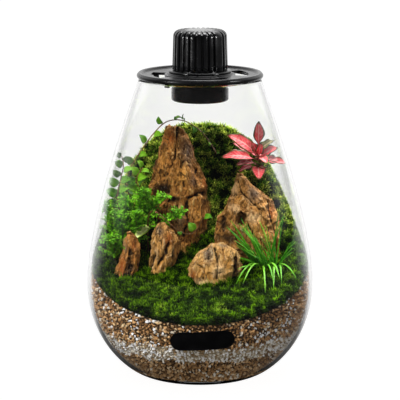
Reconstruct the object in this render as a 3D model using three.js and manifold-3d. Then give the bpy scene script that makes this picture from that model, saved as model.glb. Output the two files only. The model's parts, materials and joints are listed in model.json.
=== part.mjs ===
// A planted glass terrarium: a teardrop jar with soil layers, a moss hillside, stones and small plants,
// closed by a black vented lid that carries a ribbed grow lamp.
// Millimetres, +Z up, the front faces -Y. The origin is the centre of the jar's flat foot.
import * as THREE from "three";
import { mergeVertices } from "three/addons/utils/BufferGeometryUtils.js";
import Module from "manifold-3d";

const wasm = await Module();
wasm.setup();

// ---------------------------------------------------------------- driving dimensions

const GAP = 0.4; // clearance between pieces that lie against each other
const FACETS = 28; // round parts are drawn with this many sides
const WELD = 0.002; // points closer than this are one point

const JAR = {
  height: 234,
  footRadius: 50,
  bellyRadius: 90,
  bellyHeight: 70,
  mouthRadius: 47.8,
  footCurve: [8.5, 1.5], // how far out and up the wall sets off from the foot
  bellyCurve: 44, // how long it runs upright at the belly
  mouthCurve: [15.5, 42], // how far out and down it comes in to the mouth
  wall: 2.6,
  floor: 5,
};
const LID = {
  restHeight: JAR.height + GAP,
  beadRadius: 49.4,
  beadWidth: 4.6,
  beadHeight: 4.6,
  webLift: 1,
  webThickness: 2,
  hubRadius: 25.6,
  hubHeight: 4.4,
  boreRadius: 22.9,
  ventInner: 27.6,
  ventOuter: 38,
  ventSpan: 52, // degrees
  lugRadius: 42.4,
  lugSize: [2.8, 4.4, 5.2],
  lugDrop: 1.8,
  lugTurn: 10, // degrees that the lugs are turned from the diagonals
};
const CHAMFER = 0.6; // the broken edges of the lid's hub and the lamp's flange
const LAMP = {
  collarRadius: 22.4,
  collarWall: 1.8,
  mouthHeight: 216.5,
  mouthLip: 1.2,
  flangeRadius: 24.4,
  flangeThickness: 1.5,
  ribs: 27,
  ribFoot: 21.8,
  ribHead: 21,
  ribShoulder: 5,
  plainTop: 10,
  grooveDepth: 1.9,
  topHeight: 272,
  spigotRadius: 20.2,
  spigotEnd: 224,
};
const BOARD = { radius: 19.4, thickness: 1.5 };
const EMITTER = { radius: 7, thickness: 0.8 };
const LENS = { recess: 1.6, thickness: 2 };
const SOCKET = { width: 9, height: 8, depth: 10, proud: 0.4, lift: 8 };
const SOCKET_BORE = { radius: 2.9, depth: 8.5, pinRadius: 0.8, pinBack: 1.5 };
const LABEL = { width: 49, height: 15.5, thickness: 0.8, z: 46, x: 1.8, turn: 2.5 };
const LAYERS = { gravelTop: 26, pumiceTop: 38 };
const CARPET = { frontHeight: 61.5, slope: 0.39, thickness: 5.5 };
const HILL = { foot: -8, crest: 36, shoulder: 84, rise: 106, halfWidth: 88, backFall: 0.012 };
const LUMPS = { deepest: 2.2, rowHeight: 10.5, seed: 21 };

const material = (color, roughness, metalness = 0, extra = {}) =>
  new THREE.MeshStandardMaterial({ color, roughness, metalness, ...extra });
const MATERIALS = {
  glass: material("#e8efee", 0.03, 0, { transparent: true, opacity: 0.25 }),
  blackPlastic: material("#121212", 0.32),
  blackMetal: material("#141414", 0.3, 0.4),
  circuit: material("#e9e9e4", 0.5),
  emitter: material("#e6c34a", 0.5),
  lens: material("#eef1f1", 0.2, 0, { transparent: true, opacity: 0.6 }),
  socket: material("#1d1d1f", 0.4),
  label: material("#0c0c0d", 0.4),
  gravel: material("#7d6246", 0.95),
  pumice: material("#cdc4b4", 0.95),
  soil: material("#86694a", 0.95),
  moss: material("#3f6a12", 0.9),
  stone: material("#9a6a3c", 0.85),
  fig: material("#4f9a1c", 0.5),
  bush: material("#4fae1e", 0.55),
  fittonia: material("#d6404e", 0.5),
  grass: material("#3f9e1a", 0.45),
};

// ---------------------------------------------------------------- helpers

const part = new THREE.Group();
const placed = [];

// A closed geometry as a solid for cutting and joining.
function solidOf(geometry) {
  const bare = geometry.index ? geometry.toNonIndexed() : geometry.clone();
  bare.deleteAttribute("normal");
  bare.deleteAttribute("uv");
  const merged = mergeVertices(bare, 1e-3);
  return new wasm.Manifold(
    new wasm.Mesh({
      numProp: 3,
      vertProperties: merged.attributes.position.array,
      triVerts: new Uint32Array(merged.index.array),
    }),
  );
}

function geometryOf(solid) {
  const mesh = solid.getMesh();
  const points = new Float32Array(mesh.numVert * 3);
  for (let i = 0; i < mesh.numVert; i++) {
    points.set(mesh.vertProperties.subarray(i * mesh.numProp, i * mesh.numProp + 3), i * 3);
  }
  const geometry = new THREE.BufferGeometry();
  geometry.setAttribute("position", new THREE.BufferAttribute(points, 3));
  geometry.setIndex(new THREE.BufferAttribute(mesh.triVerts, 1));
  return geometry;
}

// The largest body of a cut solid: loose scraps are dropped.
function largestBody(solid) {
  const bodies = solid.decompose();
  return bodies.reduce((best, body) => (body.volume() > best.volume() ? body : best));
}

// The body with points that almost touch welded together, and the faces that this closes dropped.
function welded(body) {
  const geometry = mergeVertices(geometryOf(body), WELD);
  const old = geometry.index.array;
  const kept = [];
  for (let i = 0; i < old.length; i += 3) {
    const face = [old[i], old[i + 1], old[i + 2]];
    if (new Set(face).size === 3) kept.push(...face);
  }
  geometry.setIndex(kept);
  return geometry;
}

// Adds a solid to the object as one named mesh.
function place(name, solid, look) {
  const geometry = welded(largestBody(solid));
  const mesh = new THREE.Mesh(geometry, look);
  mesh.name = name;
  part.add(mesh);
  placed.push(solidOf(geometry));
}

// A body of revolution about Z from [radius, height] points that run anticlockwise round the section.
function turned(profile, facets = FACETS) {
  const points = profile.map(([radius, height]) => new THREE.Vector2(radius, height));
  return new THREE.LatheGeometry(points, facets).rotateX(Math.PI / 2);
}

const revolve = (profile, facets) => solidOf(turned(profile, facets));

// The profile of a plain round bar between two heights.
const barProfile = (radius, low, high) => [
  [0, low],
  [radius, low],
  [radius, high],
  [0, high],
];

// Joins rings of equally many points into a closed skin with a cap on each end.
function skin(rings) {
  const count = rings[0].length;
  const points = rings.flat();
  const faces = [];
  const quad = (a, b, c, d) => faces.push(a, b, c, a, c, d);
  for (let i = 0; i + 1 < rings.length; i++) {
    for (let j = 0; j < count; j++) {
      const next = (j + 1) % count;
      quad(i * count + j, i * count + next, (i + 1) * count + next, (i + 1) * count + j);
    }
  }
  const capCentre = (ring) =>
    points.push(ring.reduce((sum, p) => sum.add(p), new THREE.Vector3()).divideScalar(count)) - 1;
  const low = capCentre(rings[0]);
  const high = capCentre(rings.at(-1));
  const last = (rings.length - 1) * count;
  for (let j = 0; j < count; j++) {
    const next = (j + 1) % count;
    faces.push(low, next, j);
    faces.push(high, last + j, last + next);
  }
  const geometry = new THREE.BufferGeometry().setFromPoints(points);
  geometry.setIndex(faces);
  return solidOf(geometry);
}

const smoothStep = (t) => THREE.MathUtils.smoothstep(t, 0, 1);

// A small repeatable random source, 0 to 1.
function randomFrom(seed) {
  let state = seed >>> 0;
  return () => {
    state = (Math.imul(state, 1664525) + 1013904223) >>> 0;
    return state / 4294967296;
  };
}

// ---------------------------------------------------------------- the jar

const jarLine = new THREE.CurvePath();
jarLine.add(
  new THREE.CubicBezierCurve(
    new THREE.Vector2(JAR.footRadius, 0),
    new THREE.Vector2(JAR.footRadius + JAR.footCurve[0], JAR.footCurve[1]),
    new THREE.Vector2(JAR.bellyRadius, JAR.bellyHeight - JAR.bellyCurve),
    new THREE.Vector2(JAR.bellyRadius, JAR.bellyHeight),
  ),
);
jarLine.add(
  new THREE.CubicBezierCurve(
    new THREE.Vector2(JAR.bellyRadius, JAR.bellyHeight),
    new THREE.Vector2(JAR.bellyRadius, JAR.bellyHeight + JAR.bellyCurve),
    new THREE.Vector2(JAR.mouthRadius + JAR.mouthCurve[0], JAR.height - JAR.mouthCurve[1]),
    new THREE.Vector2(JAR.mouthRadius, JAR.height),
  ),
);
const JAR_STEPS = 5; // points on each of the two curves, closer together near the foot

// The jar's outline moved square to itself by a distance, outwards if it is positive.
function jarOffset(distance) {
  const [lower, upper] = jarLine.curves;
  const moved = (curve, t) => {
    const point = curve.getPoint(t);
    const along = curve.getTangent(t);
    return [point.x + along.y * distance, point.y - along.x * distance];
  };
  const steps = Array.from({ length: JAR_STEPS }, (_, i) => i / JAR_STEPS);
  return [
    ...steps.map((t) => moved(lower, t ** 1.3)),
    ...steps.map((t) => moved(upper, t)),
    moved(upper, 1),
  ];
}

// The closed space inside a line offset from the outline, from a floor up to a top.
function jarInside(distance, floor, top) {
  const cornerRound = 3; // the floor meets the wall in a small slope this wide
  const wall = jarOffset(distance).filter(([, height]) => height > floor + 1);
  wall.at(-1)[1] = top;
  return revolve([[0, floor], [wall[0][0] - cornerRound, floor], ...wall, [0, top]]);
}

const PAST = 5; // how far a cutting body runs past what it cuts
const jarBody = revolve([[0, 0], ...jarOffset(0), [0, JAR.height]]);
const jarHollow = jarInside(-JAR.wall, JAR.floor, JAR.height + PAST);
place("glass_jar", jarBody.subtract(jarHollow), MATERIALS.glass);

const fillSpace = jarInside(-JAR.wall - GAP, JAR.floor + GAP, JAR.height);

// ---------------------------------------------------------------- the lid

function lidRing() {
  const low = LID.restHeight;
  const webLow = low + LID.webLift;
  const webHigh = webLow + LID.webThickness;
  const beadIn = LID.beadRadius - LID.beadWidth;
  const beadTop = low + LID.beadHeight;
  const round = LID.beadHeight / 4;
  const ring = revolve([
    [LID.boreRadius, webLow],
    [beadIn, webLow],
    [beadIn, low],
    [LID.beadRadius - round, low],
    [LID.beadRadius, low + round],
    [LID.beadRadius, beadTop - 1.6 * round],
    [LID.beadRadius - 1.4 * round, beadTop],
    [beadIn, beadTop - round],
    [beadIn, webHigh],
    [LID.hubRadius, webHigh],
    [LID.hubRadius - CHAMFER, low + LID.hubHeight],
    [LID.boreRadius, low + LID.hubHeight],
    [LID.boreRadius, webLow],
  ]);
  return lidLugs(ring.subtract(lidVents(webLow, webHigh)), webLow);
}

// Four curved air slots through the web.
function lidVents(webLow, webHigh) {
  const span = THREE.MathUtils.degToRad(LID.ventSpan);
  const vents = [0, 1, 2, 3].map((quarter) => {
    const middle = THREE.MathUtils.degToRad(-90 + LID.lugTurn + 90 * quarter);
    const shape = new THREE.Shape();
    shape.absarc(0, 0, LID.ventOuter, middle - span / 2, middle + span / 2, false);
    shape.absarc(0, 0, LID.ventInner, middle + span / 2, middle - span / 2, true);
    const slot = new THREE.ExtrudeGeometry(shape, {
      depth: webHigh - webLow + 2 * PAST,
      bevelEnabled: false,
      curveSegments: 4,
    });
    return solidOf(slot.translate(0, 0, webLow - PAST));
  });
  return wasm.Manifold.union(vents);
}

// Four lugs under the web centre the lid in the jar's mouth.
function lidLugs(ring, webLow) {
  const lugs = [0, 1, 2, 3].map((quarter) => {
    const turn = THREE.MathUtils.degToRad(-45 + LID.lugTurn + 90 * quarter);
    const lug = new THREE.BoxGeometry(...LID.lugSize);
    return solidOf(lug.translate(LID.lugRadius, 0, webLow - LID.lugDrop).rotateZ(turn));
  });
  return wasm.Manifold.union([ring, ...lugs]);
}

place("lid_ring", lidRing(), MATERIALS.blackPlastic);

// ---------------------------------------------------------------- the lamp

const flangeLow = LID.restHeight + LID.hubHeight + GAP;
const flangeHigh = flangeLow + LAMP.flangeThickness;
const collarBore = LAMP.collarRadius - LAMP.collarWall;

function lampCollar() {
  return revolve([
    [collarBore, LAMP.mouthHeight],
    [LAMP.collarRadius - LAMP.mouthLip, LAMP.mouthHeight],
    [LAMP.collarRadius, LAMP.mouthHeight + LAMP.mouthLip],
    [LAMP.collarRadius, flangeLow],
    [LAMP.flangeRadius, flangeLow],
    [LAMP.flangeRadius, flangeHigh - CHAMFER],
    [LAMP.flangeRadius - CHAMFER, flangeHigh],
    [collarBore, flangeHigh],
    [collarBore, LAMP.mouthHeight],
  ]);
}

// Ribs stand between grooves, and two plain panels have no groove: one at the front right, one behind.
const PLAIN_RIBS = [3, 16];
const COLUMNS_PER_RIB = 4;
function grooveAt(column) {
  const rib = Math.floor(column / COLUMNS_PER_RIB);
  return column % COLUMNS_PER_RIB > 1 && !PLAIN_RIBS.includes(rib) ? 1 : 0;
}

// The turn of a rib's groove about Z: 0 is +X, and the first groove lies just right of the front.
const FIRST_GROOVE = THREE.MathUtils.degToRad(4.7 - 90);
const grooveTurn = (rib) => FIRST_GROOVE + (2 * Math.PI * rib) / LAMP.ribs;

function heatSink() {
  const foot = flangeHigh + GAP;
  const shoulder = LAMP.ribShoulder;
  const top = LAMP.topHeight;
  const bend = 1 - Math.SQRT1_2;
  // Radius, height, how much of the groove is cut there, and which way it is cut.
  const levels = [
    [LAMP.ribFoot, foot, 1, 0],
    [LAMP.ribHead, top - shoulder, 1, 0],
    [LAMP.ribHead - shoulder * bend, top - shoulder * bend, 1, 0.7],
    [LAMP.ribHead - shoulder, top, 0.8, 1],
    [LAMP.plainTop, top, 0, 1],
  ];
  const columns = LAMP.ribs * COLUMNS_PER_RIB;
  const rings = levels.map(([radius, height, cut, down]) =>
    Array.from({ length: columns }, (_, column) => {
      const turn = grooveTurn((column - 2.5) / COLUMNS_PER_RIB);
      const depth = LAMP.grooveDepth * cut * grooveAt(column);
      const reach = radius - depth * (1 - down);
      return new THREE.Vector3(
        reach * Math.cos(turn),
        reach * Math.sin(turn),
        height - depth * down,
      );
    }),
  );
  const spigot = revolve(barProfile(LAMP.spigotRadius, LAMP.spigotEnd, foot + 1));
  return skin(rings).add(spigot);
}

// The power socket is let into the plain panel at the back: a round hole with a contact pin in its middle.
function powerSocket() {
  const face = LAMP.ribFoot + SOCKET.proud;
  const middle = new THREE.Vector3(face - SOCKET.depth / 2, 0, flangeHigh + GAP + SOCKET.lift);
  const turn = grooveTurn(PLAIN_RIBS[1]);
  const block = (room) => {
    const size = [SOCKET.depth, SOCKET.width, SOCKET.height].map((side) => side + room);
    return solidOf(new THREE.BoxGeometry(...size).translate(...middle).rotateZ(turn));
  };
  // A round bar let in from the front: it runs from one depth behind the face to another.
  const bar = (radius, front, back) => {
    const round = new THREE.CylinderGeometry(radius, radius, back - front, 12).rotateZ(Math.PI / 2);
    return solidOf(round.translate(face - (front + back) / 2, 0, middle.z).rotateZ(turn));
  };
  const { radius, depth, pinRadius, pinBack } = SOCKET_BORE;
  const body = block(0)
    .subtract(bar(radius, -1, depth))
    .add(bar(pinRadius, pinBack, depth + 1));
  return { body, pocket: block(2 * GAP) };
}

const socket = powerSocket();
place("lamp_collar", lampCollar(), MATERIALS.blackPlastic);
place("heat_sink", heatSink().subtract(socket.pocket), MATERIALS.blackMetal);
place("power_socket", socket.body, MATERIALS.socket);

// The light lies under the sink's foot: a round board, its yellow emitter and a clear disc below them.
const boardTop = LAMP.spigotEnd - GAP;
const boardLow = boardTop - BOARD.thickness;
const emitterTop = boardLow - GAP;
const lensLow = LAMP.mouthHeight + LENS.recess;
const disc = (radius, low, high) => revolve(barProfile(radius, low, high), 16);
const board = disc(BOARD.radius, boardLow, boardTop);
const emitter = disc(EMITTER.radius, emitterTop - EMITTER.thickness, emitterTop);
const lens = disc(collarBore - GAP, lensLow, lensLow + LENS.thickness);
place("led_board", board, MATERIALS.circuit);
place("led_emitter", emitter, MATERIALS.emitter);
place("lamp_lens", lens, MATERIALS.lens);

// ---------------------------------------------------------------- the blank label

function frontLabel() {
  const half = LABEL.height / 2;
  const straight = LABEL.width / 2 - half;
  const pill = new THREE.Shape();
  pill.absarc(straight, 0, half, -Math.PI / 2, Math.PI / 2, false);
  pill.absarc(-straight, 0, half, Math.PI / 2, (3 * Math.PI) / 2, false);
  const block = new THREE.ExtrudeGeometry(pill, {
    depth: JAR.bellyRadius,
    bevelEnabled: false,
    curveSegments: 8,
  });
  block.rotateZ(THREE.MathUtils.degToRad(LABEL.turn));
  block.rotateX(Math.PI / 2).translate(LABEL.x, -JAR.bellyRadius / 4, LABEL.z);
  const outer = revolve([[0, 0], ...jarOffset(GAP + LABEL.thickness), [0, JAR.height]]);
  const inner = revolve([[0, -1], ...jarOffset(GAP), [0, JAR.height + 1]]);
  return outer.intersect(solidOf(block)).subtract(inner);
}

place("front_label", frontLabel(), MATERIALS.label);

// ---------------------------------------------------------------- the ground

// The smooth ground: a carpet that climbs gently from the front and a steep hill behind it.
function groundHeight(x, y) {
  const carpet = CARPET.frontHeight + CARPET.slope * (y + JAR.bellyRadius);
  const past = Math.max(0, y - HILL.crest);
  const width = Math.abs(x / HILL.halfWidth) ** 2.6;
  const crest = HILL.shoulder + HILL.rise * (1 - width) - HILL.backFall * past * past;
  const climb = smoothStep((y - HILL.foot) / (HILL.crest - HILL.foot));
  return carpet + (crest - carpet) * climb;
}

// Cushions on the moss.
function cushions(x, y) {
  const broad = 1.3 * Math.sin(0.5 * x + 0.28 * y) * Math.sin(0.46 * y - 0.2 * x);
  const fine = 0.8 * Math.sin(0.75 * x + 1.3) * Math.sin(0.7 * y + 0.4);
  return broad + fine;
}

const mossHeight = (x, y) => groundHeight(x, y) + cushions(x, y);

// The moss keeps its thickness square to the slope.
function soilHeight(x, y) {
  const step = 1;
  const slopeX = (groundHeight(x + step, y) - groundHeight(x - step, y)) / (2 * step);
  const slopeY = (groundHeight(x, y + step) - groundHeight(x, y - step)) / (2 * step);
  return groundHeight(x, y) - CARPET.thickness * Math.sqrt(1 + slopeX * slopeX + slopeY * slopeY);
}

// A slab between two height fields, split alike on both faces.
function slab(top, bottom) {
  const reach = JAR.bellyRadius + 2;
  const across = 12;
  const deep = 14;
  const points = [];
  const faces = [];
  for (const height of [bottom, top]) {
    for (let j = 0; j <= deep; j++) {
      for (let i = 0; i <= across; i++) {
        const x = -reach + (2 * reach * i) / across;
        const y = -reach + (2 * reach * j) / deep;
        points.push(new THREE.Vector3(x, y, height(x, y)));
      }
    }
  }
  const layer = (across + 1) * (deep + 1);
  const at = (i, j) => j * (across + 1) + i;
  for (let j = 0; j < deep; j++) {
    for (let i = 0; i < across; i++) {
      const [a, b, c, d] = [at(i, j), at(i + 1, j), at(i + 1, j + 1), at(i, j + 1)];
      faces.push(layer + a, layer + b, layer + c, layer + a, layer + c, layer + d);
      faces.push(a, c, b, a, d, c);
    }
  }
  const wall = (a, b) => faces.push(a, b, layer + b, a, layer + b, layer + a);
  for (let i = 0; i < across; i++) {
    wall(at(i, 0), at(i + 1, 0));
    wall(at(i + 1, deep), at(i, deep));
  }
  for (let j = 0; j < deep; j++) {
    wall(at(across, j), at(across, j + 1));
    wall(at(0, j + 1), at(0, j));
  }
  const geometry = new THREE.BufferGeometry().setFromPoints(points);
  geometry.setIndex(faces);
  return solidOf(geometry);
}

const flatLayer = (low, high) =>
  fillSpace.intersect(revolve(barProfile(1.2 * JAR.bellyRadius, low, high), 8));
place("gravel_layer", flatLayer(0, LAYERS.gravelTop), MATERIALS.gravel);
place("pumice_layer", flatLayer(LAYERS.gravelTop + GAP, LAYERS.pumiceTop), MATERIALS.pumice);

// ---------------------------------------------------------------- the stones

// Each stone is a stack of rough rings: [height, left, right, middle depth, half depth].
const STONES = {
  stone_tall: {
    seed: 1.3,
    rings: [
      [84, -26, 2, 8, 14],
      [102, -28, 2, 8, 15],
      [116, -33, 8, 8, 16],
      [128, -37, 10, 9, 16],
      [142, -41, 10, 10, 15],
      [152, -39, 7, 11, 14],
      [163, -37, 0, 13, 13],
      [176, -34, -5, 15, 11],
      [187, -32, -9, 17, 8],
      [195, -29, -17, 18, 4],
    ],
  },
  stone_right: {
    seed: 4.1,
    rings: [
      [78, 14, 62, -2, 13],
      [92, 12, 66, -1, 15],
      [104, 11, 68, 0, 17],
      [116, 11, 66, 2, 17],
      [127, 14, 63, 4, 16],
      [136, 20, 57, 6, 14],
      [145, 24, 47, 8, 11],
      [153, 27, 38, 9, 7],
      [158, 29, 34, 10, 3],
    ],
  },
  stone_front: {
    seed: 2.2,
    rings: [
      [66, -4, 20, -33, 10],
      [76, -7, 26, -33, 12.5],
      [85, -11, 31, -32, 13.5],
      [92, -11, 33, -31, 13],
      [98, -6, 32, -30, 11.5],
      [104, 1, 28.5, -29, 8.5],
      [109, 7, 21, -28, 4],
    ],
  },
  stone_left: {
    seed: 5.7,
    rings: [
      [72, -64, -50, -28, 8],
      [82, -68, -48, -28, 10],
      [90, -66, -45.5, -27.5, 10.5],
      [98, -63, -45, -27, 10],
      [106, -61.5, -45.5, -26.5, 8.5],
      [112, -60, -48, -26, 6.5],
      [118, -57, -53, -25.5, 3],
    ],
  },
  stone_middle: {
    seed: 0.6,
    rings: [
      [74, -40, -26, -22, 8],
      [83, -42, -24, -22, 10.5],
      [90, -42, -19, -21.5, 11.5],
      [98, -41.5, -15.5, -21, 11],
      [106, -40.5, -15, -20.5, 10],
      [113, -39, -17, -20, 8.5],
      [119, -36, -22, -19.5, 6],
      [124, -32, -26.5, -19, 3],
    ],
  },
};
const RING_STEPS = 1.5; // rings drawn for each one listed
const STONE_SIDES = 13;

// Ridges and pits, as a share of the stone's half width.
function weathering(turn, height, seed) {
  const ridges = 0.085 * Math.sin(3 * turn + 0.07 * height + seed);
  const flutes = 0.06 * Math.sin(7 * turn - 0.05 * height + 2.3 * seed);
  const ledges = 0.05 * Math.sin(0.42 * height + 2 * turn + 1.7 * seed);
  const knobs = 0.045 * Math.sin(0.9 * height - 5 * turn + 3.1 * seed);
  return ridges + flutes + ledges + knobs;
}

function stoneBody({ seed, rings }, grow = 0) {
  const count = Math.round(rings.length * RING_STEPS);
  const line = (index) =>
    new THREE.SplineCurve(rings.map((ring, i) => new THREE.Vector2(i, ring[index])));
  const lines = [0, 1, 2, 3, 4].map(line);
  const drawn = Array.from({ length: count }, (_, i) => {
    const share = i / (count - 1);
    const [height, left, right, depth, halfDepth] = lines.map((curve) => curve.getPoint(share).y);
    const end = grow * (i === 0 ? -1 : i === count - 1 ? 1 : 0);
    return Array.from({ length: STONE_SIDES }, (__, j) => {
      const turn = (2 * Math.PI * j) / STONE_SIDES;
      const rough = 1 + weathering(turn, height, seed);
      return new THREE.Vector3(
        (left + right) / 2 + (((right - left) / 2) * rough + grow) * Math.cos(turn),
        depth + (halfDepth * rough + grow) * Math.sin(turn),
        height + end,
      );
    });
  });
  return skin(drawn);
}

// The dark hollow weathered into the right stone.
const HOLLOW = { half: [4.2, 8, 6], at: [32.5, -15, 124] };
const hollow = solidOf(
  new THREE.IcosahedronGeometry(1, 1).scale(...HOLLOW.half).translate(...HOLLOW.at),
);
const stonePlaces = {};
for (const [name, stone] of Object.entries(STONES)) {
  const body = stoneBody(stone);
  const shaped = name === "stone_right" ? body.subtract(hollow) : body;
  stonePlaces[name] = stoneBody(stone, GAP);
  place(name, shaped, MATERIALS.stone);
}

// ---------------------------------------------------------------- soil and moss

// Where stems stand: [x, y, radius, how much wider it is across than deep]. Holes go straight down.
const SOIL_ROOT = 9; // how deep the two larger plants stand
const MOSS_ROOT = 4.4; // how deep the creeping plants stand
const ROOTS = {
  fittonia: [46, 23, 1.2, 1],
  grass_tuft: [53.5, -21, 3, 3],
  fig_runner: [-56, 14, 0.9, 1],
  fig_spray_1: [-60, 6, 0.9, 1],
  fig_spray_2: [-45, 12, 0.9, 1],
  fig_tendril: [-41, -5, 0.9, 1],
  bush_spray_1: [-66, -19, 0.9, 1],
  bush_spray_2: [-66, -7, 0.9, 1],
  bush_spray_3: [-59, -10, 0.9, 1],
  bush_spray_4: [-50, -9, 0.9, 1],
  bush_spray_5: [-56, -1, 0.9, 1],
  bush_spray_6: [-50, 2, 0.9, 1],
  bush_spray_7: [-44, 1, 0.9, 1],
  bush_spray_8: [-34.5, -5, 0.9, 1],
};

const rootDepth = (radius) => (radius > 1 ? SOIL_ROOT : MOSS_ROOT);

function rootHole([x, y, radius, across]) {
  const ground = groundHeight(x, y);
  const hole = barProfile(radius + GAP, ground - rootDepth(radius) - GAP, ground + 8);
  const sides = radius > 1 ? 8 : 6;
  return solidOf(turned(hole, sides).scale(across, 1, 1).translate(x, y, 0));
}

const cuts = wasm.Manifold.union([
  ...Object.values(stonePlaces),
  ...Object.values(ROOTS).map(rootHole),
]);

// How far out the space inside the glass reaches at a height.
function wallRadius(height) {
  const wall = jarOffset(-JAR.wall - GAP);
  const above = wall.findIndex(([, level]) => level >= height);
  const [[lowRadius, low], [highRadius, high]] = [wall[above - 1], wall[above]];
  return THREE.MathUtils.mapLinear(height, low, high, lowRadius, highRadius);
}

// The space that the soil fills. Its granules meet the glass in low lumps with hollows between them.
function lumpySpace(low, high) {
  const rows = Math.round((high - low) / LUMPS.rowHeight);
  const random = randomFrom(LUMPS.seed);
  const rings = Array.from({ length: rows + 1 }, (_, j) => {
    const height = low + ((high - low) * j) / rows;
    const lump = wallRadius(height) * Math.cos(Math.PI / FACETS);
    return Array.from({ length: 2 * FACETS }, (__, i) => {
      const hollow = (i + j) % 2 ? LUMPS.deepest * (0.6 + 0.4 * random()) : 0;
      const turn = (Math.PI * i) / FACETS;
      const radius = lump - hollow;
      return new THREE.Vector3(radius * Math.cos(turn), radius * Math.sin(turn), height);
    });
  });
  return skin(rings);
}

const soilSpace = lumpySpace(LAYERS.pumiceTop + GAP, JAR.height - 40);
const soilFoot = () => LAYERS.gravelTop;
const mossFoot = (x, y) => soilHeight(x, y) + GAP;
const layer = (top, foot, space) => slab(top, foot).intersect(space).subtract(cuts);
place("soil", layer(soilHeight, soilFoot, soilSpace), MATERIALS.soil);
place("moss", layer(mossHeight, mossFoot, fillSpace), MATERIALS.moss);

// ---------------------------------------------------------------- plants

const vector = (x, y, z) => new THREE.Vector3(x, y, z);

// A stem: a thin tube along a smooth line.
function stemBody(points, radius, steps) {
  const sides = 4;
  const section = new THREE.Shape(
    Array.from({ length: sides }, (_, i) => {
      const turn = (2 * Math.PI * i) / sides;
      return new THREE.Vector2(radius * Math.cos(turn), radius * Math.sin(turn));
    }),
  );
  const path = new THREE.CatmullRomCurve3(points);
  return solidOf(
    new THREE.ExtrudeGeometry(section, { steps, bevelEnabled: false, extrudePath: path }),
  );
}

// Half widths along a blade, from root to tip, as shares of its full half width.
const OVATE = [0.16, 0.85, 1, 0.6];
const HEART = [0.25, 1, 0.85];

// A blade from root to tip with a raised middle, a keel and an arch.
// grow makes it stouter, to tell whether it stands clear.
function bladeBody(blade, grow = 0) {
  const { root, tip, width, form } = blade;
  const { arch = 0, keel = 0, thickness = 0.8, face = vector(0, 0, 1) } = blade;
  const along = tip.clone().sub(root);
  const across = along.clone().cross(face).normalize();
  const up = across.clone().cross(along).normalize();
  const rings = form.map((share, i) => {
    const t = i / form.length;
    const half = (width / 2) * share + grow;
    const lift = arch * 4 * t * (1 - t);
    const middle = root.clone().addScaledVector(along, t).addScaledVector(up, lift);
    const thick = thickness / 2 + grow;
    const point = (side, rise) =>
      middle.clone().addScaledVector(across, side).addScaledVector(up, rise);
    return [point(half, keel * share), point(0, -thick), point(-half, keel * share), point(0, thick)];
  });
  const count = 4;
  const points = [...rings.flat(), tip.clone().addScaledVector(along, grow / along.length())];
  const end = points.length - 1;
  const faces = [0, 2, 1, 0, 3, 2];
  for (let i = 0; i + 1 < rings.length; i++) {
    for (let j = 0; j < count; j++) {
      const [a, b] = [i * count + j, i * count + ((j + 1) % count)];
      // Both faces of the blade are split alike.
      if (j % 2) faces.push(a, b, a + count, b, b + count, a + count);
      else faces.push(a, b, b + count, a, b + count, a + count);
    }
  }
  const last = (rings.length - 1) * count;
  for (let j = 0; j < count; j++) faces.push(last + j, last + ((j + 1) % count), end);
  const geometry = new THREE.BufferGeometry().setFromPoints(points);
  geometry.setIndex(faces);
  return solidOf(geometry);
}

const touches = (a, b) => a.intersect(b).volume() > 1e-4;
const CLEAR = 0.25; // the least room round a leaf
const STEM_RADIUS = 0.6;

// Fuses a stem with those of its blades that stay clear of everything already there.
function plant(name, stems, blades, look) {
  const clear = blades.filter((blade) => {
    const stout = bladeBody(blade, CLEAR);
    return !placed.some((other) => touches(stout, other));
  });
  place(name, wasm.Manifold.union([...stems, ...clear.map((blade) => bladeBody(blade))]), look);
}

// The lowest points of a stem: straight up out of its hole.
function rootPoints([x, y, radius]) {
  const ground = groundHeight(x, y);
  return [vector(x, y, ground - rootDepth(radius)), vector(x, y, ground + 1)];
}

// The nerve plant: each leaf's root and tip, measured from the crown, its width, its arch and its facing.
const FITTONIA_CROWN = vector(45.7, 6, 169);
const FITTONIA_LEAVES = [
  { root: [0, 0, 0.5], tip: [-0.2, -1, 30.5], width: 8.5, arch: 1.5, face: [0.3, -1, 0] },
  { root: [-0.5, 0, 0.5], tip: [-22.5, -7, 20], width: 10, arch: 3.5, face: [0.2, -0.7, 0.8] },
  { root: [-0.5, 0, -1.5], tip: [-14.5, 4, 14.5], width: 7, arch: 1, face: [0, -0.6, 1] },
  { root: [-0.5, 0, -3.5], tip: [-28, -8, 1.5], width: 9.5, arch: 4, face: [0, -0.7, 1] },
  { root: [-0.5, 0, -7], tip: [-17, -11, -3.5], width: 8.5, arch: 2.5, face: [0, -0.7, 1] },
  { root: [-0.5, 0, -9], tip: [-14, -8, -8.5], width: 6.5, arch: 2.5, face: [0, -0.2, 1] },
  { root: [0, 0, -7], tip: [0.5, -17, -13], width: 10, arch: 2.5, face: [0, -0.5, 1] },
  { root: [0, 0, -1.5], tip: [6, -17, -1], width: 9, arch: 3, face: [0, 0.1, 1] },
  { root: [0.5, 0, -0.5], tip: [15, -3, 10], width: 8, arch: 2, face: [-0.4, -0.7, 1] },
  { root: [0.5, 0, -4.5], tip: [19, -7, 0], width: 7, arch: 2, face: [0, -0.6, 1] },
  { root: [0.5, 0, -2.5], tip: [14, 3, 2], width: 9, arch: 3.5, face: [0, 0.4, 1] },
  { root: [0, 0, 0.5], tip: [11, -3, 15], width: 6, arch: 2, face: [-0.5, -0.2, 1] },
  { root: [0, 0, 0.5], tip: [1.5, -5, 11], width: 6, arch: 0.5, face: [0, -1, 0.2] },
  { root: [0, 0, -3], tip: [8, 13, 5], width: 8, arch: 2.5, face: [0, 0, 1] },
];
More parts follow.
